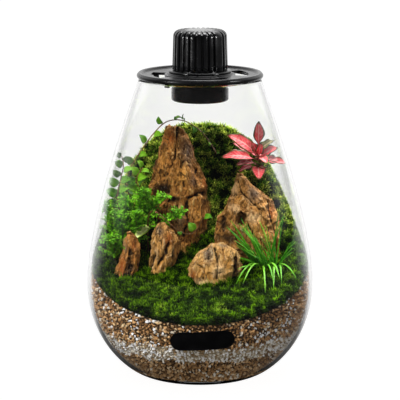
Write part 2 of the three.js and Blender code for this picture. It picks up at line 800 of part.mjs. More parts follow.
function fittonia() {
  const crown = FITTONIA_CROWN;
  const stem = [...rootPoints(ROOTS.fittonia), crown.clone().add(vector(0, 1, -9)), crown.clone()];
  const blades = FITTONIA_LEAVES.map(({ root, tip, width, arch, face }) => ({
    root: crown.clone().add(vector(...root)),
    tip: crown.clone().add(vector(...tip)),
    face: vector(...face),
    form: OVATE,
    keel: 0.8,
    width,
    arch,
  }));
  plant("fittonia", [stemBody(stem, 1, 8)], blades, MATERIALS.fittonia);
}

// The tuft: upright blades that fan to the left and right, and some that fall forwards over the moss.
const GRASS = {
  upright: 16,
  fallen: 6,
  length: 43,
  spread: 9.5,
  halfWidth: 1.1,
  tipHalfWidth: 0.12,
  halfThickness: 0.35,
  fallenLean: 0.85,
  fallenDroop: 24,
};

// One blade of grass: it rises from the crown, leans out and bends down under its weight.
function grassBlade(base, turn, lean, length, droop) {
  const out = vector(Math.cos(turn), Math.sin(turn), 0);
  const side = vector(-out.y, out.x, 0);
  const rise = length * Math.cos(lean);
  const reach = length * Math.sin(lean);
  const rings = [0, 0.35, 0.7, 0.97].map((t) => {
    const centre = base.clone().addScaledVector(out, reach * t ** 1.2);
    centre.z += rise * t - droop * t * t;
    const half = GRASS.halfWidth * (1 - t ** 3) + GRASS.tipHalfWidth;
    const slope = Math.min(1, (droop + reach) / length);
    const ridge = (height) =>
      centre.clone().addScaledVector(out, -height * (1 - slope)).add(vector(0, 0, height));
    return [
      centre.clone().addScaledVector(side, -half),
      ridge(-GRASS.halfThickness),
      centre.clone().addScaledVector(side, half),
      ridge(GRASS.halfThickness),
    ];
  });
  return skin(rings);
}

function grassTuft() {
  const random = randomFrom(7);
  const [x, y, radius, across] = ROOTS.grass_tuft;
  const ground = groundHeight(x, y);
  const bar = turned(barProfile(radius, ground - SOIL_ROOT, ground + 1), 8);
  const crown = solidOf(bar.scale(across, 1, 1).translate(x, y, 0));
  const blades = [];
  const grow = (share, turn, lean, length, droop) => {
    const base = vector(x + GRASS.spread * share, y - 0.8, ground - 1.5);
    const blade = grassBlade(base, turn, lean, length, droop);
    if (!placed.some((other) => touches(blade, other))) blades.push(blade);
  };
  for (let i = 0; i < GRASS.upright; i++) {
    const share = (2 * (i + 0.5)) / GRASS.upright - 1;
    const right = share > 0.72;
    const turn = right ? -0.35 - 0.5 * random() : Math.PI + 0.6 * random();
    const lean = right ? 20 + 20 * random() : 3 + 14 * (1 - share) + 5 * random();
    const length = GRASS.length * (0.75 + 0.35 * random());
    grow(share, turn, THREE.MathUtils.degToRad(lean), length, 4 * random());
  }
  for (let i = 0; i < GRASS.fallen; i++) {
    const share = (2 * (i + 0.5)) / GRASS.fallen - 1;
    const turn = -Math.PI / 2 - 0.2 + 0.5 * (random() - 0.5);
    const length = GRASS.length * (0.8 + 0.3 * random());
    grow(share, turn, GRASS.fallenLean, length, GRASS.fallenDroop);
  }
  place("grass_tuft", wasm.Manifold.union([crown, ...blades]), MATERIALS.grass);
}

// Leaves set in turn to either side of a stem's line.
function leavesAlong(points, count, start, make) {
  const path = new THREE.CatmullRomCurve3(points);
  return Array.from({ length: count }, (_, i) => {
    const t = start + ((1 - start) * i) / Math.max(1, count - 1);
    return make(path.getPointAt(t), path.getTangentAt(t), i % 2 ? 1 : -1, t, i);
  });
}

// Creeping fig: rounded heart-shaped leaves on thin runners.
const FIG_STEMS = {
  fig_runner: {
    leaves: 11,
    size: 7.4,
    line: [
      [-58, 7, 150],
      [-54, 2, 164],
      [-45, 3, 178],
      [-37, 5, 189],
      [-28, 7, 197.5],
      [-19, 10, 199.5],
      [-10, 14, 197],
      [-2, 19, 191],
      [4, 20, 185],
      [9, 19, 178],
      [13.5, 17, 171],
    ],
  },
  fig_spray_1: {
    leaves: 9,
    size: 9,
    line: [
      [-63, 0, 126],
      [-65, -4, 140],
      [-63, -6, 152],
      [-60, -6, 165],
      [-61, -6, 173],
    ],
  },
  fig_spray_2: {
    leaves: 7,
    size: 9,
    line: [
      [-48, 3, 136],
      [-48, -3, 146],
      [-50, -6, 155],
      [-45, -6, 164],
    ],
  },
  fig_tendril: {
    leaves: 6,
    size: 8.5,
    line: [
      [-41, -9, 121],
      [-37, -18, 132],
      [-28, -23, 127],
      [-17, -22, 117],
      [-8, -17, 113],
      [-2, -14, 117],
      [3, -13, 126],
    ],
  },
};

function figLeaf(root, along, side, t, i, size) {
  const out = along.clone().cross(vector(0, -1, 0.3)).normalize().multiplyScalar(side);
  const reach = size * (1 - 0.25 * t);
  const tip = root
    .clone()
    .addScaledVector(out, reach)
    .addScaledVector(along, 0.35 * reach)
    .add(vector(0, -0.5 - (i % 3), 0.2 * reach));
  const face = vector(0.1 * side, -0.8, 0.55);
  return { root, tip, width: 0.78 * reach, arch: 0.8, keel: 0.5, form: HEART, face };
}

function figs() {
  for (const [name, { leaves, size, line }] of Object.entries(FIG_STEMS)) {
    const points = [...rootPoints(ROOTS[name]), ...line.map((p) => vector(...p))];
    const stem = stemBody(points, STEM_RADIUS, Math.round(line.length * 1.6));
    const blades = leavesAlong(points, leaves, 0.3, (root, along, side, t, i) =>
      figLeaf(root, along, side, t, i, size),
    );
    plant(name, [stem], blades, MATERIALS.fig);
  }
}

// The bush: each spray is a stem that carries three thin fronds, cut to the rib into pointed leaflets.
const BUSH_TIPS = {
  bush_spray_1: [-70, -30, 109],
  bush_spray_2: [-74, -16, 136],
  bush_spray_3: [-66, -21, 129],
  bush_spray_4: [-49, -25, 131],
  bush_spray_5: [-58, -15, 141],
  bush_spray_6: [-42, -15, 146],
  bush_spray_7: [-26, -14, 143],
  bush_spray_8: [-12, -15, 130],
};
const FROND = { pairs: 5, ribHalf: 0.35, reach: 5, thickness: 0.7, lift: 0.25, start: 0.42 };
// Where each side frond leaves the main line, as a share of it, and how far it reaches.
const FORKS = [
  { from: 0.35, reach: [-5.5, -7, 7] },
  { from: 0.5, reach: [5.5, 2, 12] },
];

// A thin frond along a line: a narrow rib with pointed leaflets to both sides, all one blade.
function frondBody(path, from, pairs, reach) {
  const points = [];
  const across = (along) => along.clone().cross(vector(0, -0.55, 0.85)).normalize();
  const add = (t, side, width) => {
    const along = path.getTangentAt(Math.min(1, t));
    const sideways = across(along);
    const up = sideways.clone().cross(along).normalize();
    const centre = path.getPointAt(Math.min(1, t)).addScaledVector(sideways, side * width);
    centre.addScaledVector(up, FROND.lift * width);
    points.push(centre.clone().addScaledVector(up, -FROND.thickness / 2));
    points.push(centre.addScaledVector(up, FROND.thickness / 2));
    return points.length / 2 - 1;
  };
  const step = (1 - from) / (pairs + 0.6);
  const spots = Array.from({ length: pairs + 1 }, (_, i) => from + step * i);
  const rib = spots.map((t) => [add(t, 1, FROND.ribHalf), add(t, -1, FROND.ribHalf)]);
  const tips = spots.slice(0, -1).map((t, i) => {
    const width = reach * (1 - 0.5 * (i / pairs) ** 2) * (i === 0 ? 0.75 : 1);
    return [add(t + 1.15 * step, 1, width), add(t + 1.15 * step, -1, width)];
  });
  const end = add(1, 1, 0);
  const faces = [];
  // One flat facet, seen from above as an anticlockwise triangle, and its twin underneath.
  const facet = (a, b, c) => faces.push(2 * a + 1, 2 * b + 1, 2 * c + 1, 2 * a, 2 * c, 2 * b);
  const edge = (a, b) => faces.push(2 * a, 2 * b, 2 * b + 1, 2 * a, 2 * b + 1, 2 * a + 1);
  for (let i = 0; i < pairs; i++) {
    const [right, left] = rib[i];
    const [nextRight, nextLeft] = rib[i + 1];
    const [rightTip, leftTip] = tips[i];
    facet(right, nextRight, nextLeft);
    facet(right, nextLeft, left);
    facet(right, rightTip, nextRight);
    facet(left, nextLeft, leftTip);
    edge(right, rightTip);
    edge(rightTip, nextRight);
    edge(nextLeft, leftTip);
    edge(leftTip, left);
  }
  const [lastRight, lastLeft] = rib[pairs];
  facet(lastRight, end, lastLeft);
  edge(lastRight, end);
  edge(end, lastLeft);
  edge(rib[0][1], rib[0][0]);
  const geometry = new THREE.BufferGeometry().setFromPoints(points);
  geometry.setIndex(faces);
  return solidOf(geometry);
}

function bush() {
  for (const [name, tip] of Object.entries(BUSH_TIPS)) {
    const [root, collar] = rootPoints(ROOTS[name]);
    const end = vector(...tip);
    const bend = collar.clone().lerp(end, 0.35).add(vector(0, 1, 12));
    const main = new THREE.CatmullRomCurve3([collar, bend, end]);
    const stem = stemBody([root, collar, bend, main.getPointAt(0.6)], STEM_RADIUS, 5);
    const fronds = [frondBody(main, FROND.start, FROND.pairs, FROND.reach)];
    for (const { from, reach } of FORKS) {
      const fork = main.getPointAt(from);
      const branch = new THREE.CatmullRomCurve3([
        fork,
        fork.clone().addScaledVector(vector(...reach), 0.5).add(vector(0, 0, 1.5)),
        fork.clone().add(vector(...reach)),
      ]);
      fronds.push(frondBody(branch, 0.02, FROND.pairs - 2, FROND.reach * 0.8));
    }
    const clear = fronds.filter((frond) => !placed.some((other) => touches(frond, other)));
    place(name, wasm.Manifold.union([stem, ...clear]), MATERIALS.bush);
  }
}

fittonia();
grassTuft();
bush();
figs();

export default part;
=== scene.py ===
"""The looks of a planted glass terrarium: a teardrop jar of soil layers, a moss hillside, weathered
stones and small plants, closed by a black vented lid that carries a ribbed grow lamp.

Sizes are in millimetres, with +Z up and the front facing -Y. They become metres as each mesh is made.
"""

import json
import math
import random

import bmesh
import bpy
import numpy as np
from mathutils import Matrix, Vector, noise

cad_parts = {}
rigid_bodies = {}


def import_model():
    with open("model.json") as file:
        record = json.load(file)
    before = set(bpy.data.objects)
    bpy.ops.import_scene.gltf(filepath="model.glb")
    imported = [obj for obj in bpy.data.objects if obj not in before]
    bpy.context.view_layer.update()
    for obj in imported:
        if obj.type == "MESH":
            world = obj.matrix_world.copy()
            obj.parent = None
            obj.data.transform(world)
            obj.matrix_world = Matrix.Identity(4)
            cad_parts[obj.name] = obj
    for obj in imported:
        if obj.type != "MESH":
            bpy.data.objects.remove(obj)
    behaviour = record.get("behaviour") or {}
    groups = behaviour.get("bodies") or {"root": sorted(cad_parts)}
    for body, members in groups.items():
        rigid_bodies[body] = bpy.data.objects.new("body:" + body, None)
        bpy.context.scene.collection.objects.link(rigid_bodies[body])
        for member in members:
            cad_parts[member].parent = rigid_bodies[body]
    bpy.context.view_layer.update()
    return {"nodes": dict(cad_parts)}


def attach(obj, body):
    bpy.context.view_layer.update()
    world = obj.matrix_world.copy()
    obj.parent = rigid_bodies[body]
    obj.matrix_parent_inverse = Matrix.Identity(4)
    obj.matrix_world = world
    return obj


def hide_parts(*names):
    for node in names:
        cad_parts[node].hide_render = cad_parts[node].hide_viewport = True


MM = 0.001
NOISE_SEED = 8

# ------------------------------------------------------------------ sizes

JAR_HEIGHT = 234
WALL = 2.6
FLOOR = 5
LOWER_WALL = [(50, 0), (58.5, 1.5), (90, 26), (90, 70)]
UPPER_WALL = [(90, 70), (90, 114), (63.3, 192), (47.8, JAR_HEIGHT)]

LID_REST = JAR_HEIGHT + 0.4
LID_RADIUS = 49.4
VENT = {"inner": 27.6, "outer": 38, "span": 52}
LUG = {"radius": 42.4, "size": (2.8, 4.4, 5.2), "drop": 1.8}
LUG_TURN = 10
HUB = {"bore": 22.9, "foot": 25.9, "top": 25.2}

COLLAR = {"mouth": 216.5, "bore": 20.6, "radius": 22.4, "flange": 24.4, "seat": 239.2, "top": 240.7}
SINK = {"foot": 241.1, "straight": 242, "top": 272, "low_radius": 21.8, "high_radius": 21, "shoulder": 5}
RIBS = 27
PLAIN_RIBS = (3, 16)
FIRST_GROOVE = math.radians(4.7 - 90)
GROOVE = {"depth": 1.9, "half_share": 0.2, "crown": 0.22}
PER_RIB = 16
SPIGOT = [(0, 224), (20.2, 224), (20.2, SINK["straight"]), (0, SINK["straight"])]
SOCKET = {"size": (10, 9, 8), "radius": 17.2, "height": 249.1, "gap": 0.8}
SOCKET["turn"] = FIRST_GROOVE + 2 * math.pi * PLAIN_RIBS[1] / RIBS
# The lamp's light: each flat round part's node, slot, radius, foot and top.
LAMP_DISCS = {
    "board_white": ("led_board", "circuit", 19.4, 222.1, 223.6),
    "emitter_yellow": ("led_emitter", "emitter", 7, 220.9, 221.7),
    "lens_frosted": ("lamp_lens", "lens", 20.2, 218.1, 220.1),
}

LABEL = {"width": 49, "height": 15.5, "z": 46, "x": 1.8, "turn": 2.5, "gap": 0.4, "face": 0.8}

GRAVEL_TOP, PUMICE_TOP = 26, 38
CARPET = {"front": 61.5, "slope": 0.39, "thickness": 5.5}
HILL = {"foot": -8, "crest": 36, "shoulder": 84, "rise": 106, "half_width": 88, "fall": 0.012}


# ------------------------------------------------------------------ lines and surfaces of the object


def smooth_step(value):
    share = min(1, max(0, value))
    return share * share * (3 - 2 * share)


def bezier(handles, share):
    """The point and the direction at a share of a cubic curve."""
    a, b, c, d = (Vector(handle) for handle in handles)
    rest = 1 - share
    point = a * rest**3 + b * (3 * rest * rest * share) + c * (3 * rest * share * share) + d * share**3
    along = (b - a) * (rest * rest) + (c - b) * (2 * rest * share) + (d - c) * (share * share)
    return point, along.normalized()


def jar_line(distance, steps=40):
    """The jar's outline from foot to mouth as (radius, height), moved outwards by a distance."""
    line = []
    for handles in (LOWER_WALL, UPPER_WALL):
        for i in range(steps):
            point, along = bezier(handles, i / steps)
            line.append((point.x + along.y * distance, point.y - along.x * distance))
    point, along = bezier(UPPER_WALL, 1)
    line.append((point.x + along.y * distance, point.y - along.x * distance))
    return line


INNER_LINE = np.array(jar_line(-WALL, 80))
OUTER_LINE = np.array(jar_line(0, 80))


def inner_radius(height):
    return np.interp(height, INNER_LINE[:, 1], INNER_LINE[:, 0])


def outer_radius(height):
    return np.interp(height, OUTER_LINE[:, 1], OUTER_LINE[:, 0])


def ground_height(x, y):
    """The smooth ground: a carpet that climbs gently from the front and a steep hill behind it."""
    carpet = CARPET["front"] + CARPET["slope"] * (y + 90)
    past = max(0, y - HILL["crest"])
    width = abs(x / HILL["half_width"]) ** 2.6
    crest = HILL["shoulder"] + HILL["rise"] * (1 - width) - HILL["fall"] * past * past
    climb = smooth_step((y - HILL["foot"]) / (HILL["crest"] - HILL["foot"]))
    return carpet + (crest - carpet) * climb


def moss_height(x, y):
    """The ground with its cushions: broad ones as in the solid, and small ones on them."""
    broad = 1.3 * math.sin(0.5 * x + 0.28 * y) * math.sin(0.46 * y - 0.2 * x)
    fine = 0.8 * math.sin(0.75 * x + 1.3) * math.sin(0.7 * y + 0.4)
    tufts = noise.noise(Vector((x / 5, y / 5, 3.7)))
    return ground_height(x, y) + broad + fine + 1.5 * tufts - 1.4


def soil_height(x, y):
    """The soil lies one moss thickness below the ground, measured square to the slope."""
    slope_x = (ground_height(x + 1, y) - ground_height(x - 1, y)) / 2
    slope_y = (ground_height(x, y + 1) - ground_height(x, y - 1)) / 2
    return ground_height(x, y) - CARPET["thickness"] * math.sqrt(1 + slope_x**2 + slope_y**2)


def smooth_line(points, steps=8):
    """A smooth line through points, with equally many steps between each two."""
    knots = [Vector(p) for p in points]
    knots = [2 * knots[0] - knots[1], *knots, 2 * knots[-1] - knots[-2]]
    line = []
    for a, b, c, d in zip(knots, knots[1:], knots[2:], knots[3:]):
        for i in range(steps):
            t = i / steps
            bend, twist = 2 * a - 5 * b + 4 * c - d, 3 * b - a - 3 * c + d
            line.append(0.5 * (2 * b + (c - a) * t + bend * t * t + twist * t**3))
    return [*line, knots[-2]]


# ------------------------------------------------------------------ meshes


def new_piece(name, points, faces, *materials, corners=None, edges=()):
    """A mesh object from points in millimetres. corners holds a (u, v) for each point, if it has them."""
    mesh = bpy.data.meshes.new(name)
    mesh.from_pydata([tuple(c * MM for c in point) for point in points], edges, faces)
    if corners is not None:
        layer = mesh.uv_layers.new(name="UVMap")
        for loop in mesh.loops:
            layer.data[loop.index].uv = corners[loop.vertex_index]
    for material in materials:
        mesh.materials.append(material)
    mesh.shade_smooth()
    piece = bpy.data.objects.new(name, mesh)
    bpy.context.scene.collection.objects.link(piece)
    return piece


def quads(rows, row, closed=True):
    """Faces between rows of points. A closed row also joins its end to its start."""
    return [
        [i * row + j, i * row + (j + 1) % row, (i + 1) * row + (j + 1) % row, (i + 1) * row + j]
        for i in range(rows - 1)
        for j in range(row if closed else row - 1)
    ]


def point_values(mesh, name):
    """The places or normals of a mesh's points, a row for each."""
    values = np.zeros(len(mesh.vertices) * 3)
    mesh.vertices.foreach_get(name, values)
    return values.reshape(-1, 3)


def set_places(mesh, places):
    """Moves a mesh's points to places in millimetres."""
    mesh.vertices.foreach_set("co", (places * MM).ravel())
    mesh.update()


def mark(mesh, name, values):
    """Stores a number for each point of a mesh."""
    mesh.attributes.new(name, "FLOAT", "POINT").data.foreach_set("value", values)


def polar(radius, turn, height):
    return radius * math.cos(turn), radius * math.sin(turn), height


def revolved(profile, sides, closed=False):
    """Points and faces of a body of revolution. The profile runs anticlockwise in (radius, height)."""
    points, rings = [], []
    for radius, height in profile:
        count = 1 if radius == 0 else sides
        rings.append([len(points) + j % count for j in range(sides)])
        for j in range(count):
            points.append(polar(radius, 2 * math.pi * j / sides, height))
    faces = []
    for low, high in zip(rings, rings[1:] + rings[:1] if closed else rings[1:]):
        for j in range(sides):
            k = (j + 1) % sides
            face = list(dict.fromkeys([low[j], low[k], high[k], high[j]]))
            if len(face) > 2:
                faces.append(face)
    return points, faces


def eased(profile, radius, steps=4, closed=False):
    """The profile with its corners rounded."""
    count = len(profile)
    line = []
    for i, corner in enumerate(profile):
        if not closed and i in (0, count - 1):
            line.append(corner)
            continue
        here = Vector(corner)
        back, ahead = Vector(profile[i - 1]) - here, Vector(profile[(i + 1) % count]) - here
        start = here + back.normalized() * min(radius, 0.45 * back.length)
        end = here + ahead.normalized() * min(radius, 0.45 * ahead.length)
        for j in range(steps + 1):
            t = j / steps
            line.append(tuple(start * (1 - t) ** 2 + here * (2 * t * (1 - t)) + end * t * t))
    return line


def joined(name, pieces):
    """Several objects as one."""
    for piece in bpy.context.view_layer.objects:
        piece.select_set(piece in pieces)
    bpy.context.view_layer.objects.active = pieces[0]
    with bpy.context.temp_override(active_object=pieces[0], selected_editable_objects=pieces):
        bpy.ops.object.join()
    pieces[0].name = name
    pieces[0].data.name = name
    return pieces[0]


def applied(piece):
    """The piece with what its modifiers make as its own plain mesh."""
    depsgraph = bpy.context.evaluated_depsgraph_get()
    mesh = bpy.data.meshes.new_from_object(piece.evaluated_get(depsgraph))
    mesh.name = piece.name
    piece.modifiers.clear()
    piece.data = mesh
    return piece


def cut_out(piece, cutter):
    """Takes one closed body out of another."""
    modifier = piece.modifiers.new("cut", "BOOLEAN")
    modifier.operation = "DIFFERENCE"
    modifier.object = cutter
    modifier.solver = "EXACT"
    applied(piece)
    bpy.data.objects.remove(cutter)
    return piece


def bevelled(piece, width, segments=3):
    modifier = piece.modifiers.new("edge", "BEVEL")
    modifier.width, modifier.segments = width * MM, segments
    return applied(piece)


def evened(piece, voxel, smoothing=0):
    """The piece as an even, closed mesh, smoothed so many times."""
    remesh = piece.modifiers.new("even", "REMESH")
    remesh.mode, remesh.voxel_size = "VOXEL", voxel * MM
    if smoothing:
        soften = piece.modifiers.new("worn", "SMOOTH")
        soften.factor, soften.iterations = 0.5, smoothing
    return applied(piece)


def creased(piece, degrees):
    """Smooth, with sharp edges where faces meet at more than an angle."""
    piece.data.shade_smooth()
    piece.data.set_sharp_from_angle(angle=math.radians(degrees))
    return piece


def tidied(piece):
    """Merges points that fall together and turns the faces outwards."""
    mesh = bmesh.new()
    mesh.from_mesh(piece.data)
    bmesh.ops.remove_doubles(mesh, verts=mesh.verts, dist=0.01 * MM)
    bmesh.ops.recalc_face_normals(mesh, faces=mesh.faces)
    mesh.to_mesh(piece.data)
    mesh.free()
    return piece


def finished(piece, slot, *nodes):
    """The piece takes its place in the object."""
    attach(piece, "root")
    if nodes:
        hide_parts(*nodes)
    return piece


def kept_inside(piece, room=0.15):
    """Presses whatever lies against the glass to the inside of it."""
    places = point_values(piece.data, "co") / MM
    reach = np.hypot(places[:, 0], places[:, 1])
    limit = inner_radius(places[:, 2]) - room
    shrink = np.minimum(1, limit / np.maximum(reach, 1e-6))
    places[:, :2] *= shrink[:, None]
    places[:, 2] = np.maximum(places[:, 2], FLOOR + room)
    set_places(piece.data, places)
    return piece


# ------------------------------------------------------------------ node trees


def add_node(tree, kind, inputs=(), **settings):
    """A node with its settings. Each input takes a plain value, a colour code or another node's output."""
    made = tree.nodes.new(kind)
    for name, value in settings.items():
        setattr(made, name, value)
    for name, source in dict(inputs).items():
        socket = made.inputs[name]
        if isinstance(source, bpy.types.NodeSocket):
            tree.links.new(source, socket)
        elif socket.type == "RGBA" and isinstance(source, str):
            socket.default_value = rgb(source)
        else:
            socket.default_value = source
    return made


def rgb(code):
    """A linear colour from a six-digit sRGB code."""
    parts = [int(code[i : i + 2], 16) / 255 for i in (0, 2, 4)]
    return (*[p / 12.92 if p <= 0.04045 else ((p + 0.055) / 1.055) ** 2.4 for p in parts], 1)


def new_material(name, **sockets):
    """A material's tree and its surface shader, with plain values set on the shader's own sockets."""
    material = bpy.data.materials.new(name)
    material.use_nodes = True
    tree = material.node_tree
    shader = tree.nodes["Principled BSDF"]
    for socket, value in sockets.items():
        shader.inputs[socket.replace("_", " ")].default_value = value
    return material, tree, shader


def object_place(tree, stretch=(1, 1, 1)):
    """Where a point lies on the object, stretched for a pattern."""
    place = add_node(tree, "ShaderNodeTexCoord").outputs["Object"]
    return add_node(tree, "ShaderNodeMapping", {"Scale": stretch, "Vector": place}).outputs["Vector"]


def noise_field(tree, place, scale, detail=4, roughness=0.55, distortion=0):
    inputs = {
        "Scale": scale, "Detail": detail, "Roughness": roughness, "Distortion": distortion, "Vector": place,
    }
    return add_node(tree, "ShaderNodeTexNoise", inputs).outputs["Fac"]


def attribute(tree, name):
    return add_node(tree, "ShaderNodeAttribute", attribute_name=name).outputs["Fac"]


def colour_ramp(tree, source, *stops):
    """Colours along a value: (place, code) from low to high."""
    ramp = add_node(tree, "ShaderNodeValToRGB", {"Fac": source})
    elements = ramp.color_ramp.elements
    while len(elements) < len(stops):
        elements.new(0.5)
    for element, (place, code) in zip(elements, stops):
        element.position, element.color = place, rgb(code)
    return ramp.outputs["Color"]


def ranged(tree, source, low, high, to_low=0, to_high=1):
    """A value mapped smoothly from one range to another."""
    inputs = {0: source, 1: low, 2: high, 3: to_low, 4: to_high}
    return add_node(tree, "ShaderNodeMapRange", inputs, interpolation_type="SMOOTHSTEP").outputs["Result"]


def mixed(tree, share, first, second, blend="MIX"):
    """Two colours mixed. Each may be a colour code or an output, and share a number or an output."""
    inputs = {0: share, 6: first, 7: second}
    return add_node(tree, "ShaderNodeMix", inputs, data_type="RGBA", blend_type=blend).outputs[2]


def sums(tree, operation, first, second=0.0):
    return add_node(tree, "ShaderNodeMath", {0: first, 1: second}, operation=operation).outputs["Value"]


def parts_of(tree, vector):
    """A vector's X, Y and Z."""
    return add_node(tree, "ShaderNodeSeparateXYZ", {"Vector": vector}).outputs


def bumped(tree, shader, height, strength, distance):
    """Relief too fine for the mesh. distance is in millimetres."""
    inputs = {"Strength": strength, "Distance": distance * MM, "Height": height}
    bump = add_node(tree, "ShaderNodeBump", inputs)
    tree.links.new(bump.outputs["Normal"], shader.inputs["Normal"])


def painted(tree, shader, colour, roughness=None):
    tree.links.new(colour, shader.inputs["Base Color"])
    if roughness is not None:
        tree.links.new(roughness, shader.inputs["Roughness"])


# ------------------------------------------------------------------ hard materials


def clear_glass():
    """Clear blown glass. Light falls straight through it, so that what stands inside is lit."""
    material, tree, shader = new_material(
        "clear_glass", Base_Color=rgb("fefefe"), Roughness=0, IOR=1.46, Transmission_Weight=1
    )
    bumped(tree, shader, noise_field(tree, object_place(tree), 18, detail=1), 0.05, 0.5)
    path = add_node(tree, "ShaderNodeLightPath").outputs
    through = sums(tree, "MAXIMUM", path["Is Shadow Ray"], path["Is Diffuse Ray"])
    clear = add_node(tree, "ShaderNodeBsdfTransparent", {"Color": "fdfdfd"})
    mix = add_node(tree, "ShaderNodeMixShader", {0: through, 1: shader.outputs[0], 2: clear.outputs[0]})
    tree.links.new(mix.outputs["Shader"], tree.nodes["Material Output"].inputs["Surface"])
    return material


# Black surfaces: their colours, where their gloss ends and its two values, their clouds' scale and detail,
# and their grain's scale, strength and depth.
PLASTIC = {
    "colours": ("050506", "0c0c0d"), "gloss": (0.75, 0.22, 0.34), "cloud": (60, 5), "grain": (1400, 0.12, 0.05),
}
METAL = {
    "colours": ("040405", "0b0b0d"), "gloss": (0.75, 0.18, 0.3), "cloud": (90, 6), "grain": (1700, 0.18, 0.06),
}
FILM = {
    "colours": ("060607", "0d0d0e"), "gloss": (0.7, 0.5, 0.65), "cloud": (120, 5), "grain": (1800, 0.15, 0.04),
}
LACQUERED = {"Specular_IOR_Level": 0.5, "Coat_Weight": 0.5, "Coat_Roughness": 0.08}
MOULDED = {"Specular_IOR_Level": 0.4, "Coat_Weight": 0.15, "Coat_Roughness": 0.1}


def black_surface(name, look, **sockets):
    """A black surface with a faint grain and uneven gloss."""
    material, tree, shader = new_material(name, **sockets)
    place = object_place(tree)
    cloud = noise_field(tree, place, *look["cloud"])
    colour = mixed(tree, ranged(tree, cloud, 0.35, 0.7), *look["colours"])
    painted(tree, shader, colour, ranged(tree, cloud, 0.3, *look["gloss"]))
    scale, strength, depth = look["grain"]
    bumped(tree, shader, noise_field(tree, place, scale, detail=2), strength, depth)
    return material


def circuit_board():
    """White solder mask with faint copper tracks under it."""
    material, tree, shader = new_material("circuit_board", Roughness=0.42)
    inputs = {"Scale": 190, "Mortar Size": 0.06, "Color1": "f0f0ec", "Color2": "e6e7e2", "Mortar": "cfd6cc"}
    tracks = add_node(tree, "ShaderNodeTexBrick", {**inputs, "Vector": object_place(tree)}).outputs
    painted(tree, shader, tracks["Color"])
    bumped(tree, shader, tracks["Fac"], 0.3, 0.08)
    return material


def yellow_phosphor():
    """The emitter: small chips under a yellow gel."""
    material, tree, shader = new_material("yellow_phosphor", Roughness=0.3, Coat_Weight=0.6)
    inputs = {"Scale": 620, "Randomness": 0.1, "Vector": object_place(tree)}
    chips = add_node(tree, "ShaderNodeTexVoronoi", inputs, distance="CHEBYCHEV").outputs["Distance"]
    painted(tree, shader, mixed(tree, ranged(tree, chips, 0.25, 0.45), "e9c23c", "c99a22"))
    return material


def frosted_lens():
    """A clear plastic disc with a fine frosting."""
    material, tree, shader = new_material(
        "frosted_lens", Base_Color=rgb("f2f5f5"), IOR=1.49, Transmission_Weight=0.85
    )
    frost = noise_field(tree, object_place(tree), 900, detail=3)
    tree.links.new(ranged(tree, frost, 0.3, 0.7, 0.22, 0.4), shader.inputs["Roughness"])
    bumped(tree, shader, frost, 0.2, 0.05)
    return material


# ------------------------------------------------------------------ jar, lid and lamp


# The rim's rounding: its middle and how far it reaches, across and upwards, and the turns of its points.
RIM = {"radius": (46.5, 1.3), "top": (233.2, 0.8), "turns": (0.5, 1.1, 1.57, 2.1, 2.7)}
# Two rings of the foot's flat underside.
FOOT = (30, 49)


def near_mouth(distance):
    """Two more points of the outline just below the rim, so that its rounding stays narrow."""
    line = []
    for share in (0.984, 0.993):
        point, along = bezier(UPPER_WALL, share)
        line.append((point.x + along.y * distance, point.y - along.x * distance))
    return line


def glass_jar():
    """A thick-footed jar with a rounded, fire-polished rim."""
    outer = jar_line(0)[:-1] + near_mouth(0)
    wall = [point for point in reversed(jar_line(-WALL)[:-1]) if point[1] > FLOOR + 2.5]
    inner = near_mouth(-WALL)[::-1] + wall
    (middle, across), (height, upwards) = RIM["radius"], RIM["top"]
    rim = [(middle + across * math.cos(turn), height + upwards * math.sin(turn)) for turn in RIM["turns"]]
    corner_radius = inner[-1][0]
    well = [(corner_radius - 1, FLOOR + 1.2), (corner_radius - 3.5, FLOOR), (FOOT[0], FLOOR), (0, FLOOR)]
    foot = [(radius, 0) for radius in (0, *FOOT)]
    profile = foot + outer[1:] + rim + inner + well
    piece = new_piece("jar_glass", *revolved(profile, 160), clear_glass())
    return finished(piece, "jar_glass", "glass_jar")


def vent_cutter(turn):
    """A curved slot, as a body to cut with."""
    half = math.radians(VENT["span"] / 2)
    steps = 14
    outline = [(VENT["outer"], turn - half + 2 * half * i / steps) for i in range(steps + 1)]
    outline += [(VENT["inner"], turn + half - 2 * half * i / steps) for i in range(steps + 1)]
    count = len(outline)
    levels = (LID_REST - 5, LID_REST + 8)
    points = [polar(*place, level) for level in levels for place in outline]
    faces = [list(reversed(range(count))), list(range(count, 2 * count))]
    faces += [[i, (i + 1) % count, count + (i + 1) % count, count + i] for i in range(count)]
    return new_piece("vent_cutter", points, faces)


def box_points(size, place, turn):
    """The corners of a block turned about Z, and its faces."""
    half = [side / 2 for side in size]
    corners = [
        Vector((x * half[0], y * half[1], z * half[2])) + Vector(place)
        for z in (-1, 1)
        for x, y in ((-1, -1), (1, -1), (1, 1), (-1, 1))
    ]
    around = Matrix.Rotation(turn, 3, "Z")
    faces = [[3, 2, 1, 0], [4, 5, 6, 7], [0, 1, 5, 4], [1, 2, 6, 5], [2, 3, 7, 6], [3, 0, 4, 7]]
    return [tuple(around @ corner) for corner in corners], faces


